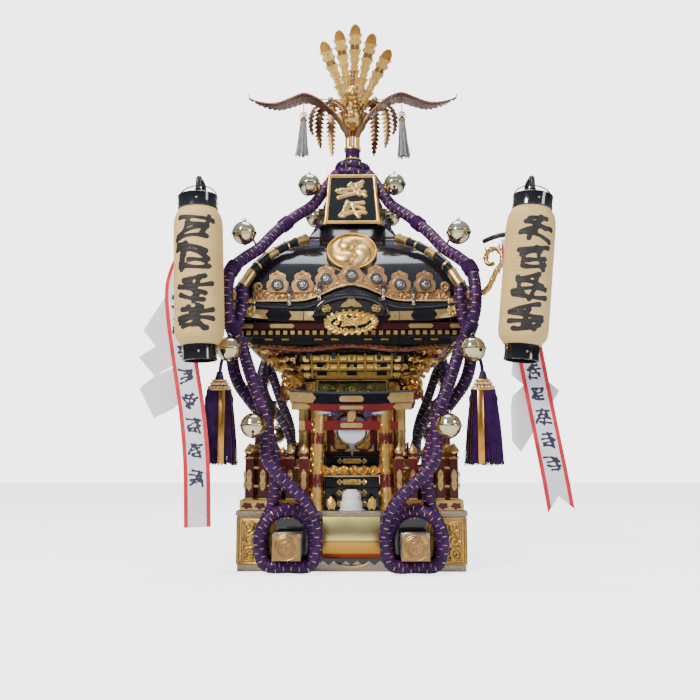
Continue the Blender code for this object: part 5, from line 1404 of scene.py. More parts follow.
def make_lanterns():
    MAT["lantern"] = inked("lantern_paper", (0.84, 0.56, 0.21), (0.02, 0.016, 0.014), 0.62)
    shader = MAT["lantern"].node_tree.nodes["Principled BSDF"]
    shader.inputs["Subsurface Weight"].default_value = 0.25
    shader.inputs["Subsurface Radius"].default_value = (0.02, 0.012, 0.006)
    MAT["ribbon"] = inked("ribbon_cloth", (0.92, 0.9, 0.97), (0.03, 0.024, 0.06), 0.66)
    for name, foot, top in (("left", (-0.461, 0.659), (-0.48, 1.179)),
                            ("right", (0.52, 0.657), (0.571, 1.174))):
        side = -1 if foot[0] < 0 else 1
        lean = atan2(top[0] - foot[0], top[1] - foot[1])
        place = Matrix.Translation((foot[0], LANTERN_Y, foot[1])) @ Matrix.Rotation(lean, 4, "Y")
        low, high, r = 0.0485, 0.4775, 0.0755
        knots = [(low, 0.05), (low + 0.012, r * 0.9), (low + 0.035, r), (high - 0.05, r),
                 (high - 0.018, r * 0.93),
                 (high, 0.056)]
        ribs = 34
        zs = np.linspace(low, high, ribs * 4 + 1)
        rs = np.interp(zs, [k[0] for k in knots], [k[1] for k in knots])
        rs = np.convolve(np.pad(rs, 4, "edge"), np.ones(9) / 9, "valid") + 0.0011 * np.abs(
            np.sin(np.pi * ribs * (zs - low) / (high - low)))
        paper = Piece(f"ribbed_paper_{name}", "lantern", smooth=80)
        sides = 72
        inner = [(radius - 0.003, z) for radius, z in zip(rs[::-8], zs[::-8])]
        profile = [*zip(rs, zs), *inner, (rs[0], zs[0])]
        paper.lathe(profile, sides, place, 0, close=False)
        sheet = paper.done(f"lantern_paper_{name}", slot="lantern_paper")
        marks = []
        for k in range(4):
            mid = low + 0.03 + (high - low - 0.06) * (k + 0.5) / 4
            for points, widths in strokes(100 + 10 * k + side, 0.124, 0.09, 6, 0.0084):
                marks.append(([(x, y + mid) for x, y in points], widths))
        flat = []
        for radius, z in profile:
            for k in range(sides):
                a = (TAU * k / sides + pi / 2 + pi) % TAU - pi
                flat.append((a * r if radius > r * 0.7 and z > low + 0.004 else 9.0, z))
        ink = ink_of(np.array(flat), marks)
        ink[len(zs) * sides:] = 0
        set_ink(sheet, ink)
        for part, radius, start, end in (("bottom", 0.053, 0.0, 0.048), ("top", 0.062, 0.478, 0.522)):
            ring = Piece(f"lantern_{part}_ring_{name}", "black", "copper_gold", "iron", "gold_plain")
            ring.lathe([(radius - 0.006, start + 0.001), (radius - 0.006, end - 0.001), (radius - 0.004, end),
                        (radius - 0.001, end), (radius + 0.0004, end - 0.002), (radius, end - 0.006),
                        (radius - 0.0015, (start + end) / 2), (radius, start + 0.006),
                        (radius + 0.0004, start + 0.002),
                        (radius - 0.001, start), (radius - 0.004, start), (radius - 0.006, start + 0.001)],
                       48, place, 0, close=False)
            ring.box((-radius + 0.004, -0.01, end - 0.012), (radius - 0.004, 0.01, end - 0.002), place,
                     kind=2)
            for k in range(4):
                a = TAU * (k + 0.5) / 4 + pi / 4 + 0.12
                ring.lathe([(0.004, 0), (0.0036, 0.0014), (0.0016, 0.0024)], 12,
                           place @ Matrix.Translation(((radius - 0.0012) * cos(a),
                                                       (radius - 0.0012) * sin(a), (start + end) / 2))
                           @ Matrix.Rotation(a, 4, "Z") @ Matrix.Rotation(pi / 2, 4, "Y"), 1)
            ring.done(f"lantern_{part}_{name}", slot="black_lacquer")
        x, z = top
        hanger = Piece(f"lantern_hook_{name}", "iron", "black_satin", "silver", "cord")
        route = line([(side * 0.44, -0.44, 1.0752), (side * 0.47, -0.5, 1.0752),
                      (x - 0.002 * side, -0.508, 1.105),
                      (x, -0.508, z + 0.052), (x, -0.526, z + 0.066), (x, -0.56, z + 0.068),
                      (x, -0.588, z + 0.066),
                      (x, LANTERN_Y, z + 0.054), (x, LANTERN_Y, z + 0.02)], 0.006)
        hanger.tube(route, 0.008, 10, None, 0)
        for p in (route[3], route[-2]):
            hanger.tube(hoop(*p, 0.0085, 0.0085, 19), 0.0024, 6, None, 1)
        bail = [(0.06 * cos(t), 0, 0.517 + 0.04 * sin(t)) for t in np.linspace(0, pi, 25)]
        hanger.tube(bail, 0.002, 6, place, 0)
        hanger.tube(line([(x, LANTERN_Y, z + 0.02), (x + 0.006, -0.598, z + 0.008), (x, -0.602, z - 0.002)],
                         0.003),
                    0.0026, 6, None, 0)
        hanger.done(f"lantern_hanger_{name}", slot="black_lacquer")


def make_streamers():
    """Cut and folded white paper: each panel lies a little behind or in front of the one above it."""
    panels = {
        "left": (((-0.484, 1.064), (-0.466, 1.064), (-0.56, 0.76), (-0.604, 0.867)),
                 ((-0.604, 0.867), (-0.664, 0.77), (-0.623, 0.717), (-0.575, 0.752), (-0.56, 0.76)),
                 ((-0.623, 0.717), (-0.676, 0.683), (-0.623, 0.622), (-0.536, 0.672), (-0.575, 0.752)),
                 ((-0.623, 0.622), (-0.67, 0.583), (-0.623, 0.489), (-0.557, 0.521), (-0.494, 0.606),
                  (-0.536, 0.662))),
        "right": (((0.484, 1.064), (0.502, 1.064), (0.572, 0.7), (0.532, 0.7)),
                  ((0.514, 0.696), (0.594, 0.699), (0.618, 0.606), (0.546, 0.592), (0.507, 0.624)),
                  ((0.546, 0.592), (0.618, 0.606), (0.656, 0.574), (0.62, 0.518), (0.508, 0.558)),
                  ((0.508, 0.558), (0.62, 0.518), (0.531, 0.383), (0.504, 0.417), (0.503, 0.525))),
    }
    for name, outlines in panels.items():
        paper = Piece(f"folded_paper_{name}", "white", "cord")
        for k, outline in enumerate(outlines):
            mid = np.mean(outline, axis=0)
            shift, swing, lean = (0.0012, 0.016, 0.012) if k % 2 else (-0.0016, -0.014, -0.01)
            tilt = (Matrix.Translation((mid[0], -0.504 + shift, mid[1])) @ Matrix.Rotation(swing, 4, "Z")
                    @ Matrix.Rotation(pi / 2 + lean, 4, "X"))
            paper.plate([(x - mid[0], z - mid[1]) for x, z in outline], 0.0014, tilt, 0, edge=0.0003)
        paper.done(f"paper_streamer_{name}", slot="white_paper")


RIBBONS = {
    "left": ((-0.494, -0.514, 1.058), (-0.54, -0.514, 0.99), (-0.556, -0.514, 0.9), (-0.548, -0.514, 0.8),
             (-0.525, -0.515, 0.66), (-0.495, -0.53, 0.5), (-0.475, -0.548, 0.35), (-0.466, -0.556, 0.155)),
    "right": ((0.505, -0.514, 1.05), (0.53, -0.514, 0.9), (0.556, -0.514, 0.75), (0.58, -0.52, 0.6),
              (0.602, -0.538, 0.45), (0.625, -0.55, 0.3), (0.638, -0.555, 0.205)),
}


def make_ribbons():
    """Printed cloth ribbons, pleated where they are tied, with red edge stripes."""
    wide, thick, waves = 0.082, 0.001, 2.5
    for name, route in RIBBONS.items():
        path = line(route, 0.005)
        # The right ribbon's end is cut to a notch
        notch = 0.045 if name == "right" else 0.0
        n, m = len(path), 27
        walk = np.concatenate([[0], np.cumsum(np.linalg.norm(np.diff(path, axis=0), axis=1))])
        along = np.gradient(path, axis=0)
        along /= np.linalg.norm(along, axis=1)[:, None]
        us = np.linspace(-0.5, 0.5, m)
        front, flat = np.zeros((n, m, 3)), np.zeros((n, m, 2))
        for i in range(n):
            share = min(1.0, 0.5 + 3 * i / n)
            across = np.array((1.0, 0, 0)) - along[i] * along[i][0]
            across /= np.linalg.norm(across)
            out = np.cross(across, along[i])
            deep = wide * share / (pi * waves) * sqrt(max(0.0, 1 / share - 1))
            curl = 0.0022 * sin(walk[i] * 9 + (0 if name == "left" else 2))
            for j, u in enumerate(us):
                rise = deep * cos(TAU * waves * u) + curl * (4 * u * u - 0.5)
                end = notch * max(0.0, 1 - abs(u) * 2.0) * max(0.0, (walk[i] - walk[-1] + 0.12) / 0.12)
                front[i, j] = path[i] + across * u * wide * share + out * rise - along[i] * end
                flat[i, j] = (u * wide, walk[i] - end)
        ribbon = Piece(f"printed_ribbon_{name}", "ribbon", "red_cloth", smooth=70)
        slope_i, slope_j = np.gradient(front, axis=0), np.gradient(front, axis=1)
        normal = np.cross(slope_i, slope_j)
        normal /= np.linalg.norm(normal, axis=2)[:, :, None] + 1e-12
        back = front + normal * thick * (1 if normal[n // 2, m // 2, 1] > 0 else -1)
        verts = np.concatenate([front.reshape(-1, 3), back.reshape(-1, 3)])
        faces, kinds = [], []
        total = n * m
        for a, b, c, d in quads(n - 1, m - 1):
            stripe = 1 if a % m < 4 or a % m > m - 6 else 0
            faces += [(a, b, c, d), (total + d, total + c, total + b, total + a)]
            kinds += [stripe, stripe]
        rims = [(i * m + j, (i + 1) * m + j, j > 0) for i in range(n - 1) for j in (0, m - 1)]
        rims += [(i * m + j, i * m + j + 1, i == 0) for j in range(m - 1) for i in (0, n - 1)]
        for a, b, flip in rims:
            face = (a, b, total + b, total + a)
            faces.append(face[::-1] if flip else face)
            kinds.append(0)
        ribbon.put(verts, faces, None, kinds)
        made = ribbon.done(f"ribbon_{name}", slot="white_paper")
        marks = []
        for k in range(9):
            mid = 0.13 + (walk[-1] - 0.2) * k / 9
            for points, widths in strokes(300 + 10 * k + len(name), 0.046, 0.056, 6, 0.0038):
                marks.append(([(x, y + mid) for x, y in points], widths))
        ink = ink_of(flat.reshape(-1, 2), marks)
        set_ink(made, np.concatenate([ink, ink * 0.0]))


# Roof

EAVE, EAVE_TOP = 0.402, 0.882
ARCH_HALF, ARCH_RISE, CORNER_RISE, FADE_OVER = 0.48, 0.054, 0.024, 0.35
ROOF_PROFILE = ((0.396, EAVE_TOP), (0.368, 0.928), (0.332, 1.005), (0.293, 1.06), (0.236, 1.112),
                (0.17, 1.158),
                (0.106, 1.232))


def arch(share):
    """The rise of the arch at this share of the eave's half width."""
    s = abs(share) / ARCH_HALF
    return 0.0 if s >= 1 else ARCH_RISE * (0.5 + 0.5 * cos(pi * s)) ** 1.25


def upturn(share):
    """The rise of the eave towards its corners."""
    return CORNER_RISE * abs(share) ** 4


def fade(z):
    """How much of these rises is left at a height of the roof."""
    return max(0.0, 1 - (z - EAVE_TOP) / FADE_OVER)


def make_roof():
    roof = Piece("lacquer_roof", "black", "gold_plain", "red_bright", smooth=50)
    fine = line([(h, 0.0, z) for h, z in ROOF_PROFILE], 0.01)
    # Each row's half width and height, and its shares of the arch and of the upturned corners
    rows = [(0.3905, 0.8132, 0.0, 1.0), (0.396, 0.813, 0.0, 1.0), (EAVE, 0.858, 1.0, 1.0)]
    for p in fine:
        rows.append((p[0], p[2], fade(p[2]) ** 5, fade(p[2]) ** 3))
    count = 64
    shares = [-1 + 2 * k / count for k in range(count + 1)]
    verts = [(s * h, -h, z + arch(s) * a + upturn(s) * u) for h, z, a, u in rows for s in shares]
    roof.mark()
    roof.put(verts, quads(len(rows) - 1, count))
    roof.four()
    for half, z, face in ((0.3905, 0.8135, (3, 2, 1, 0)), (0.106, 1.2318, (0, 1, 2, 3))):
        roof.put([(-half, -half, z), (half, -half, z), (half, half, z), (-half, half, z)], [face])
    roof.done("roof")
    make_ridges()
    make_eave_face()
    make_band()
    make_crests()


def make_ridges():
    ridge = Piece("ridge_work", "gold_plain", "black", "gold", "silver", smooth=45)
    ridge.mark()
    points = []
    for h, z in reversed(ROOF_PROFILE[1:-1]):
        points.append((h, -h, z + CORNER_RISE * fade(z) ** 3))
    points.append((0.398, -0.398, 0.904))
    points = line(points, 0.006)
    ridge.tube(points, 0.0165, 16, None, 1)
    n = len(points)
    for share, wide in ((0.06, 6), (0.44, 4), (0.8, 6)):
        mid = int(share * n)
        seg = points[max(0, mid - wide):mid + wide]
        ridge.tube(seg, 0.0178, 16, None, 0)
        for end in (seg[0], seg[-1]):
            k = int(np.argmin(np.linalg.norm(points - end, axis=1)))
            ring = aimed(end, points[min(n - 1, k + 1)] - points[max(0, k - 1)])
            ridge.lathe([(0.0185, -0.0025), (0.02, 0), (0.0185, 0.0025)], 20, ring, 2)
    for k in (int(0.25 * n), int(0.62 * n)):
        ridge.lathe([(0.0178, -0.004), (0.0192, 0), (0.0178, 0.004)], 20,
                    aimed(points[k], points[k + 1] - points[k]), 0)
    tip = at(0.404, -0.404, 0.9035, rz=45)
    ridge.lathe([(0.019, -0.012), (0.0205, -0.006), (0.0195, 0.0), (0.012, 0.004), (0.004, 0.006)], 20,
                tip @ Matrix.Rotation(pi / 2, 4, "X"), 2)
    for sx in (-1, 1):
        ridge.relief(0.076, 0.044, rinceau(0.076, 0.044, 77 + sx, 0.013, 0.0022), 0.0035, 0.0018,
                     facing(sx * 0.3585, -0.4035, 0.868), 2)
    ridge.four()
    ridge.done()
    make_scroll_corners()


def make_eave_face():
    """The thick eave face: long notched gold plates on black, the arch's rim, and the carving in it."""
    face = Piece("eave_fittings", "gold_plain", "gold", "black", "gold_light", "dark", smooth=42)
    face.mark()
    # Each plate from x0 to x1, how far either end is notched, and where scrolls sit on it
    for x0, x1, notch0, notch1, scrolls in (
            (-0.3975, -0.276, 0, 0.01, ((-0.372, 0.853), (-0.335, 0.846))), (-0.208, -0.16, 0.01, 0, ()),
            (-0.158, -0.122, 0, 0.009, ()), (0.276, 0.3975, 0.01, 0, ((0.335, 0.846), (0.372, 0.853))),
            (0.16, 0.208, 0, 0.01, ()), (0.122, 0.158, 0.009, 0, ())):
        line_x = [x0 + (x1 - x0) * k / 14 for k in range(15)]
        middle = [(x, 0.8325 + upturn(x / 0.398) * 0.9) for x in line_x]
        outline = [(x, z - 0.015) for x, z in middle]
        if notch1:
            outline.append((x1 - notch1, middle[-1][1]))
        outline += [(x, z + 0.015) for x, z in reversed(middle)]
        if notch0:
            outline.append((x0 + notch0, middle[0][1]))
        face.plate(outline, 0.002, at(0, -0.4002, 0, rx=90), 0)
        for x, z in scrolls:
            face.relief(0.03, 0.024, rinceau(0.03, 0.024, int(x * 900) % 97, 0.0095, 0.0016, border=False),
                        0.0018,
                        0.0013, facing(x, -0.402, z), 1)
    for sx in (-1, 1):
        face.lathe([(0.0022, 0), (0.002, 0.0012)], 10, facing(sx * 0.146, -0.402, 0.8325), 2)
    edge = [(s * EAVE, -0.403, 0.86 + arch(s) + upturn(s)) for s in np.linspace(-1, 1, 75)]
    face.tube(edge, 0.005, 10, None, 2)
    rim = []
    for k in range(41):
        a = pi * k / 40
        rim.append((-0.118 * cos(a), -0.404, 0.834 + 0.066 * sin(a) ** 0.85))
    face.tube(rim, 0.0098, 12, None, 2)
    # The plate that fills the arch takes the deep shadow finish: painted shade behind the carving.
    face.plate([(x * 0.97, z - 0.001) for x, _, z in rim], 0.0015, at(0, -0.4015, 0, rx=90), 4)
    top = [(-0.037, 0), (-0.03, 0.011), (-0.016, 0.02), (-0.009, 0.03), (0.009, 0.03), (0.016, 0.02),
           (0.03, 0.011), (0.037, 0), (0.012, -0.0005), (0.0, 0.004), (-0.012, -0.0005)]
    face.plate(top, 0.0024, facing(0, -0.403, 0.862), 0)
    for sx in (-1, 1):
        where = facing(sx * 0.083, -0.405, 0.857, rz=sx * -12)
        for k in range(4):
            a = k * pi / 2 + pi / 4
            face.plate(lobe(0.0082 * cos(a), 0.0082 * sin(a), 0.007, 14), 0.0024, where, 0, edge=0.0008)
            face.lathe([(0.003, 0.0022), (0.0028, 0.0028)], 10,
                       where @ Matrix.Translation((0.0082 * cos(a), 0.0082 * sin(a), 0)), 4)
        face.plate([(-0.016, -0.003), (0.016, -0.003), (0.016, 0.003), (-0.016, 0.003)], 0.0018, where, 0)
    pick = random.Random(12)
    for k in range(24):
        a = TAU * k / 24
        c = (0.078 * cos(a), 0, 0.03 * sin(a))
        r = pick.uniform(0.009, 0.013)
        turns = [(c[0] + r * (1 - 0.8 * t / 13) * cos(a + t * 0.5), -0.406 - 0.0006 * t,
                  0.81 + c[2] + r * (1 - 0.8 * t / 13) * sin(a + t * 0.5)) for t in range(14)]
        face.tube(turns, taper(0.0046, 0.5, 14, 13), 7, None, 3)
    for k in range(26):
        a, q = pick.uniform(0, TAU), pick.uniform(0.1, 0.8)
        c = (0.072 * q * cos(a), 0, 0.026 * q * sin(a))
        r = pick.uniform(0.006, 0.014)
        turns = [(c[0] + r * (1 - 0.75 * t / 13) * cos(a + t * 0.55), -0.407 - 0.001 * t,
                  0.81 + c[2] + 0.75 * r * (1 - 0.75 * t / 13) * sin(a + t * 0.55)) for t in range(14)]
        face.tube(turns, taper(0.0044, 0.5, 14, 13), 7, None, 3)
    # The oval plate behind the carving takes the deep shadow finish: painted shade. The gilt scrolls stand on
    # it.
    back = lobe(0, 0, 0.08, 36, 0.033)
    face.plate(back, 0.0045, facing(0, -0.4005, 0.81), 4)
    face.tube([(x, -0.4055, 0.81 + z) for x, z in back + back[:1]], 0.0046, 8, None, 3)
    face.four()
    face.done()


def make_band():
    """The chased band along each eave, crowned by seven three-lobed plates with round silver bosses."""
    band = Piece("crowned_band", "copper_gold", "gold_plain", "silver", "black", "grey_blue", smooth=50)
    band.mark()
    half, count, rows = 0.322, 281, 14
    xs = np.linspace(-half, half, count)

    def low(x):
        return 0.884 + arch(x / EAVE) * 1.02

    def tall(x):
        return 0.034 + 0.006 * cos(min(pi / 2, abs(x) * 8)) + 0.0025 * abs(sin(x * 55))

    marks = rinceau(2 * half, 0.04, 55, 0.0135, 0.003, border=False)
    verts, flat = [], []
    for j in range(rows + 1):
        t = j / rows
        for x in xs:
            verts.append([x, -0.402 + 0.007 * t, low(x) + tall(x) * t])
            flat.append((x, (t - 0.5) * 0.04))
    lift = swell(np.array(flat), marks)
    verts = np.array(verts)
    verts[:, 1] -= lift * 0.005 + 0.002
    faces = quads(rows, count - 1)
    band.put(verts, faces, None, 0)
    band.put(verts + (0, 0.009, 0), [f[::-1] for f in faces], None, 3)
    for t, r in ((0.0, 0.0036), (1.0, 0.0028)):
        band.tube([(x, -0.4045 + 0.007 * t, low(x) + tall(x) * t) for x in xs[::3]], r, 8, None,
                  0 if t else 1)
    for index, x in enumerate((-0.247, -0.163, -0.084, 0.0, 0.083, 0.162, 0.245)):
        z = 0.9375 + 0.031 * cos(min(pi / 2, abs(x) * 9.5)) ** 1.2
        size = 1.1 if index == 3 else 1.0
        where = facing(x, -0.399, z, lean=5, scale=size)
        right = [(0.027, -0.026), (0.034, -0.017), (0.0375, -0.004), (0.0365, 0.008), (0.03, 0.0165),
                 (0.0262, 0.0205),
                 (0.0285, 0.0265), (0.0275, 0.0345), (0.02, 0.0415), (0.0125, 0.043), (0.0065, 0.0465)]
        outline = [*right, (0, 0.0515), *((-x, z) for x, z in reversed(right))]
        band.plate(outline, 0.0045, where, 0, edge=0.0012)
        inner = [spiral(sx * 0.0165, 0.002, 0.006, 1.4, 1.2, sx, None, 0.0022, 24) for sx in (-1, 1)]
        inner += [spiral(sx * 0.0075, 0.027, 0.0056, 1.4, 0.4, -sx, None, 0.002, 24) for sx in (-1, 1)]
        inner += [([(0, 0.032 + 0.0012 * t) for t in range(6)], [0.0036 - 0.0004 * t for t in range(6)]),
                  ring_marks(0.0165, 0.0018)]
        band.relief(0.06, 0.082, inner, 0.0034, 0.0014, where @ Matrix.Translation((0, 0.01, 0.0035)), 0,
                    0.0006,
                    mask=lambda p, q: (p / 0.0285) ** 2 + ((q + 0.01)
                                                           / (0.044 if q > -0.01 else 0.026)) ** 2 < 1)
        band.lathe([(0.0192, 0.005), (0.0198, 0.0085), (0.0168, 0.0104), (0.0126, 0.0086)], 30, where, 4)
        for k in range(8):
            a = TAU * k / 8
            band.lathe([(0.0046, 0.006), (0.0044, 0.0098), (0.0026, 0.0116)], 8,
                       where @ Matrix.Translation((0.0072 * cos(a), 0.0072 * sin(a), 0)), 2)
        band.lathe([(0.0115, 0.005), (0.0112, 0.0088), (0.005, 0.0125), (0.0012, 0.0136)], 18, where, 2)
    for sx in (-1, 1):
        curl, widths = spiral(0, 0, 0.0165, 1.5, -pi / 2, sx, None, 0.006, 34)
        band.tube([(sx * 0.31 + a, -0.404, 0.931 + b) for a, b in curl], list(widths), 8, None, 0)
        band.plate([(0, 0), (sx * 0.016, -0.004), (sx * 0.018, 0.03), (0, 0.036)], 0.004,
                   facing(sx * 0.312, -0.399, 0.884), 0)
    for x in (-0.207, -0.106, 0.106, 0.207):
        z = 0.918 + arch(x / EAVE) * 0.9
        band.box((x - 0.006, -0.416, z - 0.006), (x + 0.006, -0.404, z + 0.012), kind=4)
        band.box((x - 0.0095, -0.4175, z - 0.016), (x + 0.0095, -0.4045, z - 0.01), kind=4)
        band.lathe([(0.007, -0.052), (0.0082, -0.048), (0.006, -0.04), (0.0052, -0.03), (0.0078, -0.024),
                    (0.0084, -0.017), (0.005, -0.012)], 14, Matrix.Translation((x, -0.411, z)), 2)
    band.four()
    band.done()


def make_crests():
    crest = Piece("crest_discs", "gold_plain", "amber", "gold", smooth=50)
    crest.mark()
    place = Matrix.Translation((0, -0.2955, 1.0765)) @ Matrix.Rotation(radians(60), 4, "X")
    r = 0.089
    crest.lathe([(r * 0.3, -0.085), (r * 0.52, -0.046), (r * 0.94, -0.014), (r, -0.004), (r, 0.006),
                 (r * 0.965, 0.0105),
                 (r * 0.93, 0.01), (r * 0.915, 0.006)], 64, place, 0, close=False)
    crest.lathe([(r * 0.93, 0.0045), (r * 0.6, 0.0052), (0.004, 0.0056)], 56, place, 1)
    disc_relief(crest, r * 0.935, tomoe(r * 0.9), 0.02, 0.0014, place @ Matrix.Translation((0, 0, -0.001)), 0,
                0.0015)
    crest.four()
    crest.done()


def make_scroll_corners():
    """The rising scrolls at the roof's four corners."""
    scroll = Piece("corner_scrolls", "gold", "gold_plain", "copper_gold", smooth=60)
    path = [(0.609, 0.902), (0.637, 0.918)]
    out, top = 0.6534, 1.01
    for k in range(11):
        a = radians(-70 + 36 * k)
        rr = 0.046 * (1 - 0.065 * k)
        path.append((out + rr * cos(a), top + rr * sin(a)))
    scroll.mark()
    d = 1 / sqrt(2)
    route = line([(o * d, -o * d, z) for o, z in path], 0.004)
    n = len(route)
    scroll.tube(route, [0.0098 + 0.00048 * sin(k * 0.9) - 0.003 * (k / n) for k in range(n)], 12, None, 0)
    for k in range(6, n - 4, 9):
        scroll.lathe([(0.0098, -0.003), (0.0114, 0), (0.0098, 0.003)], 14,
                     aimed(route[k], route[k + 1] - route[k]), 1)
    for k in range(5, n - 8, 10):
        p = Vector(route[k])
        away = (p - Vector((out * d, -out * d, top))).normalized()
        tip = p + away * 0.02 + Vector((0, 0, 0.004))
        barb = line([p, p + away * 0.012 + Vector((0, 0, -0.003)), tip], 0.003)
        scroll.tube(barb, [0.0055 - 0.0045 * m / (len(barb) - 1) for m in range(len(barb))], 8, None, 2)
    scroll.four()
    nodes = [f"corner_scroll_{a}_{b}" for a in ("front", "back") for b in ("left", "right")]
    scroll.done(*nodes)


def make_crown():
    crown = Piece("crown_box", "black", "gold_plain", "gold", "cord", "fleck", "gold_light", smooth=40)
    q = Matrix.Rotation(pi / 4, 4, "Z")
    r2 = sqrt(2)
    low = [(0.0968, 1.2325), (0.11, 1.2335), (0.11, 1.2615), (0.113, 1.263), (0.125, 1.269), (0.125, 1.286),
           (0.122, 1.2885), (0.0875, 1.3005)]
    crown.lathe([(a * r2, z) for a, z in low], 4, q, 0)
    crown.mark()
    for sx in (-1, 1):
        crown.box((sx * 0.0925 - 0.018, -0.1115, 1.235), (sx * 0.0925 + 0.018, -0.1, 1.261), kind=1)
        crown.relief(0.03, 0.022, rinceau(0.03, 0.022, 3 + sx, 0.01, 0.0018), 0.002, 0.0013,
                     facing(sx * 0.0925, -0.111, 1.248), 2)
        crown.box((sx * 0.106 - 0.0195, -0.1262, 1.27), (sx * 0.106 + 0.0195, -0.11, 1.2855), kind=1)
    crown.box((-0.024, -0.1262, 1.27), (0.024, -0.12, 1.2855), kind=1)
    crown.four()
    crown.lathe([(0.06, 1.299), (0.05, 1.306), (0.0445, 1.312), (0.036, 1.36), (0.0335, 1.4), (0.03, 1.43)],
                36, None, 0)
    crown.lathe([(0.0285, 1.426), (0.028, 1.43), (0.028, 1.533)], 32, None, 0)
    wrap = []
    for k in range(40 * 9):
        a = TAU * k / 40
        wrap.append((0.0262 * cos(a), 0.0262 * sin(a), 1.5285 + 0.004 * k / 40))
    crown.tube(wrap, 0.0028, 6, None, 3)
    for z, r, kind in ((1.52, 0.034, 1), (1.5645, 0.03, 2)):
        crown.lathe([(r - 0.006, z - 0.0065), (r, z - 0.0045), (r + 0.0015, z - 0.001), (r, z + 0.002),
                     (r - 0.006, z + 0.003)], 30, None, kind)
    crown.lathe([(0.028, 1.5575), (0.0335, 1.559), (0.0335, 1.564), (0.026, 1.5655)], 30, None, 2)
    crown.done("roof_crown", slot="black_lacquer")
    coil = Piece("cord_coil", "cord", "cord_dark", "fleck", "pink", smooth=70)
    for z, major in ((1.484, 0.05), (1.452, 0.056)):
        t = np.linspace(0, TAU, 110)
        braid(coil, np.column_stack([major * np.cos(t), major * np.sin(t), z + 0.004 * np.sin(2 * t)]),
              0.0205, 18,
              seed=int(z * 1000))
    coil.done(slot="purple_cord")
    make_plaque()


def make_plaque():
    plaque = Piece("name_board", "black", "gold", "gold_plain", smooth=45)
    place = Matrix.Translation((0, -0.176, 1.305)) @ Matrix.Rotation(radians(81), 4, "X")
    low, top, h = 0.1025, 0.0875, 0.0995
    outline = [(-low, -h), (low, -h), (top, h), (-top, h)]
    plaque.plate(outline, 0.011, place @ Matrix.Translation((0, 0, -0.009)), 0, edge=0.001)
    inner = [(x * 0.86, y * 0.87) for x, y in outline]
    plaque.relief(2 * low, 2 * h, [([(x * 0.935 * (1 - t) + x2 * 0.935 * t,
                                      y * 0.94 * (1 - t) + y2 * 0.94 * t)
                                     for t in np.linspace(0, 1, 90)], 0.0075)
                                   for (x, y), (x2, y2) in zip(outline, outline[1:] + outline[:1])], 0.0062,
                  0.0014,
                  place @ Matrix.Translation((0, 0, 0.0018)), 1, base=0.0012,
                  mask=lambda a, b: (abs(a) > (inner[1][0] + (inner[2][0] - inner[1][0]) * (b + h) / (2 * h))
                                     or abs(b) > h * 0.87) and abs(a) < low + (top - low) * (b + h) / (2 * h))
    marks = []
    for row in range(2):
        for points, widths in strokes(23 + row, 0.118, 0.07, 6, 0.0082):
            marks.append(([(x, y + (0.5 - row) * 0.08) for x, y in points], widths))
    w0, h0, grid = 0.15, 0.164, 0.0014
    nx, ny = round(w0 / grid), round(h0 / grid)
    xs, ys = np.linspace(-w0 / 2, w0 / 2, nx + 1), np.linspace(-h0 / 2, h0 / 2, ny + 1)
    flat = np.column_stack([g.ravel() for g in np.meshgrid(xs, ys)])
    lift = swell(flat, marks)
    faces = [face for face in quads(ny, nx) if sum(lift[v] for v in face) > 0.25]
    plaque.put(np.column_stack([flat, 0.0015 + lift * 0.006]), faces, place, 2)
    for sx in (-1, 1):
        for y in (-h, h):
            x = sx * (low if y < 0 else top)
            cluster(plaque, (x * 0.97, y * 0.97, 0.004), (0.016, 0.014, 0.006), 50 + sx + int(y * 100), 5,
                    place, 1)
    plaque.done("plaque", slot="black_lacquer")


# Phoenix

SPINE = ((0, 0.08, 1.712), (0, 0.05, 1.7), (0, 0.005, 1.682), (0, -0.03, 1.684), (0, -0.05, 1.712),
         (0, -0.058, 1.738), (0, -0.072, 1.752), (0, -0.104, 1.746))
GIRTH = (0.018, 0.038, 0.052, 0.056, 0.05, 0.04, 0.03, 0.026, 0.024, 0.02, 0.004)
WING_LINE = ((0.03, 1.672), (0.062, 1.698), (0.09, 1.724), (0.135, 1.762), (0.19, 1.784), (0.245, 1.768),
             (0.3, 1.754), (0.36, 1.764), (0.414, 1.79))
WING_CHORDS = ((-0.03, 0.03), (-0.03, 0.03), (-0.034, 0.072), (-0.036, 0.095), (-0.034, 0.1), (-0.026, 0.098),
               (-0.014, 0.09), (0.004, 0.078), (0.03, 0.06))


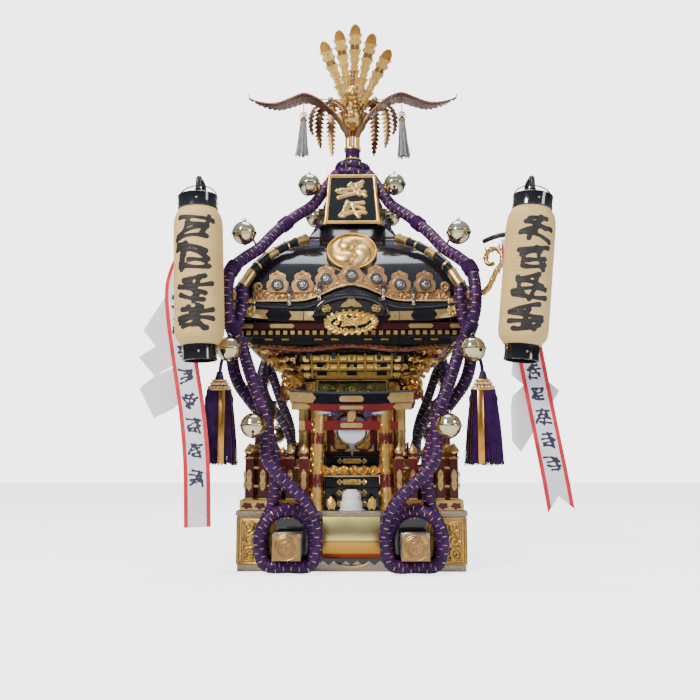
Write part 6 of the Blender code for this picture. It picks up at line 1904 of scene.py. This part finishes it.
def make_phoenix():
    bird = Piece("phoenix_bird", "gold", "gold_plain", "wing", "bronze", "silver", "dark", "gold_light",
                 smooth=55)
    spine = line(SPINE, 0.006)
    n = len(spine)
    radii = [float(np.interp(k / (n - 1), np.linspace(0, 1, len(GIRTH)), GIRTH)) * 0.97 for k in range(n)]
    bird.tube(spine, radii, 28, None, 0)
    for k in range(3, int(n * 0.72), 2):
        base = aimed(spine[k], spine[k + 1] - spine[k])
        count = max(8, int(radii[k] * 330))
        for j in range(count):
            a = TAU * (j + 0.5 * (k % 4 == 1)) / count
            scale = (base @ Matrix.Rotation(a, 4, "Z") @ Matrix.Translation((radii[k] * 0.985, 0, 0))
                     @ Matrix.Rotation(radians(78), 4, "Y") @ Matrix.Rotation(pi / 2, 4, "Z"))
            w = radii[k] * TAU / count * 1.15
            bird.plate([(-w / 2, 0.0), (w / 2, 0.0), (w * 0.42, 0.008), (0, 0.0125), (-w * 0.42, 0.008)],
                       0.0018, scale,
                       3 if (j + k) % 3 else 0, edge=0.0006)
    for sx in (-1, 1):
        thigh = line([(sx * 0.05, -0.014, 1.7), (sx * 0.034, -0.018, 1.668), (sx * 0.02, -0.01, 1.636),
                      (sx * 0.0145, -0.002, 1.612)], 0.004)
        bird.tube(thigh, [0.026 - 0.0125 * k / (len(thigh) - 1) for k in range(len(thigh))], 18, None, 3)
        leg = line([(sx * 0.0145, -0.004, 1.634), (sx * 0.0145, -0.002, 1.6), (sx * 0.0145, -0.002, 1.569)],
                   0.004)
        bird.tube(leg, 0.0135, 16, None, 1)
        for z in (1.578, 1.588, 1.598, 1.608):
            bird.tube(hoop(sx * 0.0145, -0.002, z, 0.0136, 0.0136, 17), 0.0013, 5, None, 0)
        for a in (-150, -90, -30, 90):
            e = (0.017 * cos(radians(a)), 0.017 * sin(radians(a)))
            claw = line([(sx * 0.016, -0.001, 1.574), (sx * 0.016 + e[0] * 0.6, e[1] * 0.6, 1.5725),
                         (sx * 0.016 + e[0], e[1], 1.5665)], 0.003)
            bird.tube(claw, taper(0.0044, 0.6, len(claw)), 8, None, 1)
        brow = line([(sx * 0.006, -0.086, 1.764), (sx * 0.018, -0.082, 1.766), (sx * 0.029, -0.07, 1.76)],
                    0.003)
        bird.tube(brow, 0.004, 8, None, 1)
        eye = at(sx * 0.019, -0.08, 1.757, rx=78, rz=sx * 38)
        bird.lathe([(0.0056, -0.001), (0.005, 0.0016), (0.002, 0.0032)], 12, eye, 4)
        bird.lathe([(0.0026, 0.002), (0.0016, 0.0042)], 8, eye, 5)
        jaw = line([(sx * 0.019, -0.076, 1.744), (sx * 0.012, -0.096, 1.736), (0, -0.106, 1.731)], 0.003)
        bird.tube(jaw, taper(0.0062, 0.5, len(jaw), len(jaw) - 1), 8, None, 6)
    bird.plate([(-0.0145, -0.002), (0.0145, -0.002), (0.0155, 0.011), (0.0, 0.026), (-0.0155, 0.011)], 0.004,
               at(0, -0.086, 1.768, rx=78), 6, edge=0.0012)
    beak = line([(0, -0.086, 1.756), (0, -0.104, 1.752), (0, -0.116, 1.74)], 0.003)
    bird.tube(beak, taper(0.0098, 0.85, len(beak), len(beak) - 1), 12, None, 6)
    comb = line([(0, -0.058, 1.784), (0, -0.06, 1.812), (0.0015, -0.056, 1.846), (0.001, -0.052, 1.874)],
                0.004)
    bird.tube(comb, [0.0074 + 0.0024 * sin(k * 1.35) - 0.0014 * k / len(comb) for k in range(len(comb))], 12,
              None, 3)
    for k, a in enumerate((-62, -38, -19, 0, 19, 38, 62)):
        place = at(0, -0.062 + 0.001 * k, 1.766, rx=90) @ Matrix.Rotation(radians(-a), 4, "Z")
        bird.plate(leaf(0.04 - 0.003 * abs(k - 3), 0.015, 0.72), 0.0026, place, 3 if k % 2 else 0)
    bird.done("phoenix_body")
    make_wings()
    make_tail()


def make_wings():
    wing = Piece("phoenix_wings", "wing", "copper_gold", "gold_plain", smooth=50)
    wing.mark()
    curve = line([(x, 0.0, z) for x, z in WING_LINE], 0.006)
    xs = [p[0] for p in WING_LINE]
    n = len(curve)
    rows = 16

    def level(t):
        return 0.017 * t ** 1.3

    def chord(x):
        return [float(np.interp(x, xs, [c[end] for c in WING_CHORDS])) for end in (0, 1)]

    top, under = [], []
    for i in range(n):
        x, z = curve[i][0], curve[i][2]
        front, back = chord(x)
        back += 0.005 * (abs(sin(x * 62)) - 0.5)
        for j in range(rows + 1):
            t = j / rows
            ripple = 0.0014 * abs(sin(x * 62)) + 0.001 * sin(t * 15 + x * 30)
            top.append((x, front + (back - front) * t, z + level(t) + 0.0018 * sin(pi * t) + ripple))
            under.append((x, front + (back - front) * t, z + level(t) - 0.0014 + ripple * 0.9))
    faces, kinds = [], []
    total = len(top)
    for a, b, c, d in quads(n - 1, rows):
        faces += [(a, d, c, b), (total + b, total + c, total + d, total + a)]
        kinds += [0, 0]
    for i in range(n - 1):
        for j in (0, rows):
            a, b = i * (rows + 1) + j, (i + 1) * (rows + 1) + j
            faces.append((a, b, total + b, total + a) if j == rows else (b, a, total + a, total + b))
            kinds.append(1)
    for i in (0, n - 1):
        for j in range(rows):
            a, b = i * (rows + 1) + j, i * (rows + 1) + j + 1
            faces.append((a, b, total + b, total + a) if i == 0 else (b, a, total + a, total + b))
            kinds.append(0)
    wing.put(top + under, faces, None, kinds)
    wing.tube([(x, chord(x)[0] + 0.0012, z) for x, _, z in curve], 0.0034, 8, None, 0)
    for row, t0 in enumerate((0.12, 0.34, 0.56)):
        for k in range(22 - 3 * row):
            u = (k + 0.5 + 0.5 * (row % 2)) / (22.5 - 3 * row)
            x = 0.05 + 0.345 * u
            z = float(np.interp(x, curve[:, 0], curve[:, 2]))
            front, back = chord(x)
            rise = degrees(atan2(float(np.interp(x + 0.01, curve[:, 0], curve[:, 2])) - z, 0.01))
            for side, kind in ((0.0022, 1 if row == 0 else 0), (-0.003, 0)):
                wing.plate(leaf((back - front) * 0.4, 0.0165, 0.6), 0.0016,
                           at(x, front + (back - front) * t0, z + level(t0) + side, ry=-rise, rx=6)
                           @ Matrix.Rotation(radians(-14 * u), 4, "Z"), kind, edge=0.0008)
    tip = line([(0.4, 0.038, 1.782), (0.408, 0.037, 1.788), (0.414, 0.036, 1.796), (0.4165, 0.035, 1.805),
                (0.4185, 0.035, 1.812)], 0.003)
    wing.tube(tip, taper(0.0032, 0.5, len(tip)), 8, None, 0)
    wing.both()
    wing.done("phoenix_wing_left", "phoenix_wing_right")


def make_tail():
    tail = Piece("phoenix_feathers", "gold", "gold_plain", "bronze", "silver", "tassel_grey", "gold_light",
                 "copper_gold", "amber", smooth=45)
    for k, (degrees, short) in enumerate(((-20.0, 0.058), (-8.5, 0.024), (1.6, 0.0), (12.3, 0.03),
                                          (26.0, 0.072))):
        length = 2.141 - 1.72 - short
        place = (Matrix.Translation((0, 0.084 + 0.0045 * k, 1.72)) @ Matrix.Rotation(radians(degrees), 4, "Y")
                 @ Matrix.Rotation(pi / 2, 4, "X"))
        top = length
        tier(tail, place, 0.0, top - 0.235, 0.004, 0.018, 6, -0.0014, 7)
        tier(tail, place, top - 0.3, top - 0.195, 0.0075, 0.0225, 3, -0.0002, 0)
        tier(tail, place, top - 0.212, top - 0.108, 0.01, 0.026, 3, 0.0008, 5 if k % 2 else 0)
        tier(tail, place, top - 0.122, top - 0.072, 0.014, 0.0275, 2, -0.0006, 2)
        tier(tail, place, top - 0.09, top - 0.04, 0.02, 0.0285, 2, 0.0006, 5)
        spade = []
        for j in range(19):
            a = pi * j / 18
            spade.append((0.0228 * cos(a) * (1.0 - 0.22 * sin(a) ** 3),
                          top - 0.0425 + 0.0425 * sin(a) ** 0.82))
        spade += [(-0.016, top - 0.0475), (-0.007, top - 0.044), (0.0, top - 0.05), (0.007, top - 0.044),
                  (0.016, top - 0.0475)]
        tail.plate(spade, 0.002, place @ Matrix.Translation((0, 0, 0.0016)), 7, edge=0.0006)
        tail.tube([(0, y, 0.0026) for y in np.linspace(0.0, top - 0.03, 30)],
                  [0.0026 - 0.0014 * t for t in np.linspace(0, 1, 30)], 8, place, 0)
        for j in range(26):
            y = top * (0.1 + 0.029 * j)
            for sx in (-1, 1):
                tail.tube([(0, y, 0.0026), (sx * 0.009, y + 0.008, 0.0026), (sx * 0.015, y + 0.016, 0.0018)],
                          [0.0008, 0.0007, 0.0004], 4, place, 2 if j % 3 else 0)
        for y in (top - 0.106, top - 0.205):
            tail.tube([(0.014 * cos(t), y, 0.0018 + 0.004 * sin(t)) for t in np.linspace(0, pi, 9)],
                      0.0009, 5, place, 2)
    for sx in (-1, 1):
        for k, (out, back, end) in enumerate(((0.086, 0.15, 1.6), (0.135, 0.165, 1.64), (0.166, 0.15, 1.69))):
            route = line([(sx * (0.002 + 0.005 * k), 0.092, 1.726 + 0.006 * k),
                          (sx * out * 0.45, 0.115, 1.812),
                          (sx * out * 0.85, back - 0.012, 1.824 - 0.006 * k), (sx * out * 1.02, back, 1.778),
                          (sx * out * 1.05, back + 0.004, (1.755 + end) / 2), (sx * out, back, end)], 0.003)
            across = Vector((1, 0, 0) if k < 2 else (0.75, 0.65 * sx, 0)).normalized()
            n = len(route)
            verts = []
            for i in range(n):
                d = Vector(route[min(n - 1, i + 1)] - route[max(0, i - 1)]).normalized()
                normal = d.cross(across).normalized()
                t = i / (n - 1)
                tooth = 1.0 if i < 8 else 0.42 + 0.58 * (i % 6) / 5
                wide = (0.007 + 0.019 * sin(pi * min(1.0, 0.1 + 0.92 * t)) ** 0.6) * tooth
                if t > 0.985:
                    wide = 0.002
                p = Vector(route[i])
                for u in (-1, -0.5, 0, 0.5, 1):
                    verts.append(p + across * wide * u + normal * (0.003 * (1 - abs(u))) + d * 0.006 * abs(u))
                for u in (1, 0.5, 0, -0.5, -1):
                    verts.append(p + across * wide * u - normal * 0.001 + d * 0.006 * abs(u))
            sections = [[tuple(v) for v in verts[i * 10:(i + 1) * 10]] for i in range(n)]
            skin(tail, sections, None, 2 if (k + (sx > 0)) % 2 else 6)
            tail.tube([Vector(p) for p in route], [0.003 - 0.0016 * i / n for i in range(n)], 7, None, 2)
    tail.lathe([(0.014, 1.692), (0.0205, 1.699), (0.0213, 1.706), (0.018, 1.71), (0.0205, 1.716),
                (0.0205, 1.734),
                (0.016, 1.742), (0.01, 1.749)], 28, Matrix.Translation((0, 0.092, 0)), 1)
    tail.tube(line([(-0.172, 0.03, 1.79), (-0.08, 0.032, 1.787), (0, 0.034, 1.786), (0.08, 0.032, 1.784),
                    (0.172, 0.03, 1.79)], 0.01), 0.0024, 8, None, 5)
    for sx in (-1, 1):
        tail.lathe([(0.0002, -0.012), (0.006, -0.0105), (0.0108, -0.005), (0.012, 0.0), (0.0108, 0.005),
                    (0.006, 0.0105), (0.0002, 0.012)], 20, at(sx * 0.088, 0.031, 1.786), 3, close=False)
        x, y = sx * 0.196, 0.03
        tail.tube([(x, y, 1.786), (x, y, 1.722)], 0.0016, 6, None, 5)
        for a, r in ((-0.5, 0.0105), (0.5, 0.0105), (-1.5, 0.009), (1.5, 0.009), (0.0, 0.0125)):
            c = (x + 0.01 * sin(a), y, 1.714 + 0.01 * cos(a))
            tail.tube([(c[0] + r * 0.55 * cos(t) * cos(a) + r * sin(t) * sin(a), y + 0.002 * sin(t),
                        c[2] - r * 0.55 * cos(t) * sin(a) + r * sin(t) * cos(a))
                       for t in np.linspace(0, TAU, 17)], 0.0017, 5, None, 6)
        tail.lathe([(0.004, 1.69), (0.0125, 1.693), (0.015, 1.699), (0.0115, 1.706), (0.005, 1.711)], 18,
                   Matrix.Translation((x, y, 0)), 6)
        pick = random.Random(sx + 5)
        low = 1.553 if sx < 0 else 1.543
        for k in range(84):
            a, r = pick.uniform(0, TAU), sqrt(pick.random())
            foot = low + pick.uniform(-0.002, 0.01)
            lean = sx * 0.006
            tail.tube([(x + r * 0.011 * cos(a), y + r * 0.011 * sin(a), 1.694),
                       (x + r * 0.015 * cos(a) + lean * 0.3, y + r * 0.015 * sin(a), 1.655),
                       (x + r * 0.019 * cos(a) + lean * 0.6, y + r * 0.019 * sin(a), 1.605),
                       (x + r * 0.027 * cos(a) + lean, y + r * 0.024 * sin(a), foot)],
                      0.0017, 4, None, 4)
    tail.done("phoenix_tail")


def tier(piece, place, low, high, narrow, wide, teeth, depth, kind):
    """One tier of a feather: a leaf that widens upwards, with saw-toothed edges that end in barbs."""
    right = [(narrow, low)]
    for k in range(1, teeth + 1):
        y = low + (high - low) * k / teeth
        w = narrow + (wide - narrow) * (k / teeth) ** 0.8
        right += [(w * 0.98, y - (high - low) / teeth * 0.3), (w * 1.04, y),
                  (w * 0.74, y - (high - low) / teeth * 0.1)]
    middle = [(wide * 0.36, high - 0.002), (0.0, high), (-wide * 0.36, high - 0.002)]
    outline = right + middle + [(-x, y) for x, y in reversed(right)]
    piece.plate(outline, 0.0018, place @ Matrix.Translation((0, 0, depth)), kind, edge=0.0005)


def main():
    make_stage()
    make_finishes()
    make_cords()
    make_tassels()
    make_lanterns()
    make_streamers()
    make_ribbons()
    make_base()
    make_fence()
    make_gates()
    make_steps()
    make_hall()
    make_head_frame()
    make_eaves()
    make_roof()
    make_crown()
    make_phoenix()


main()
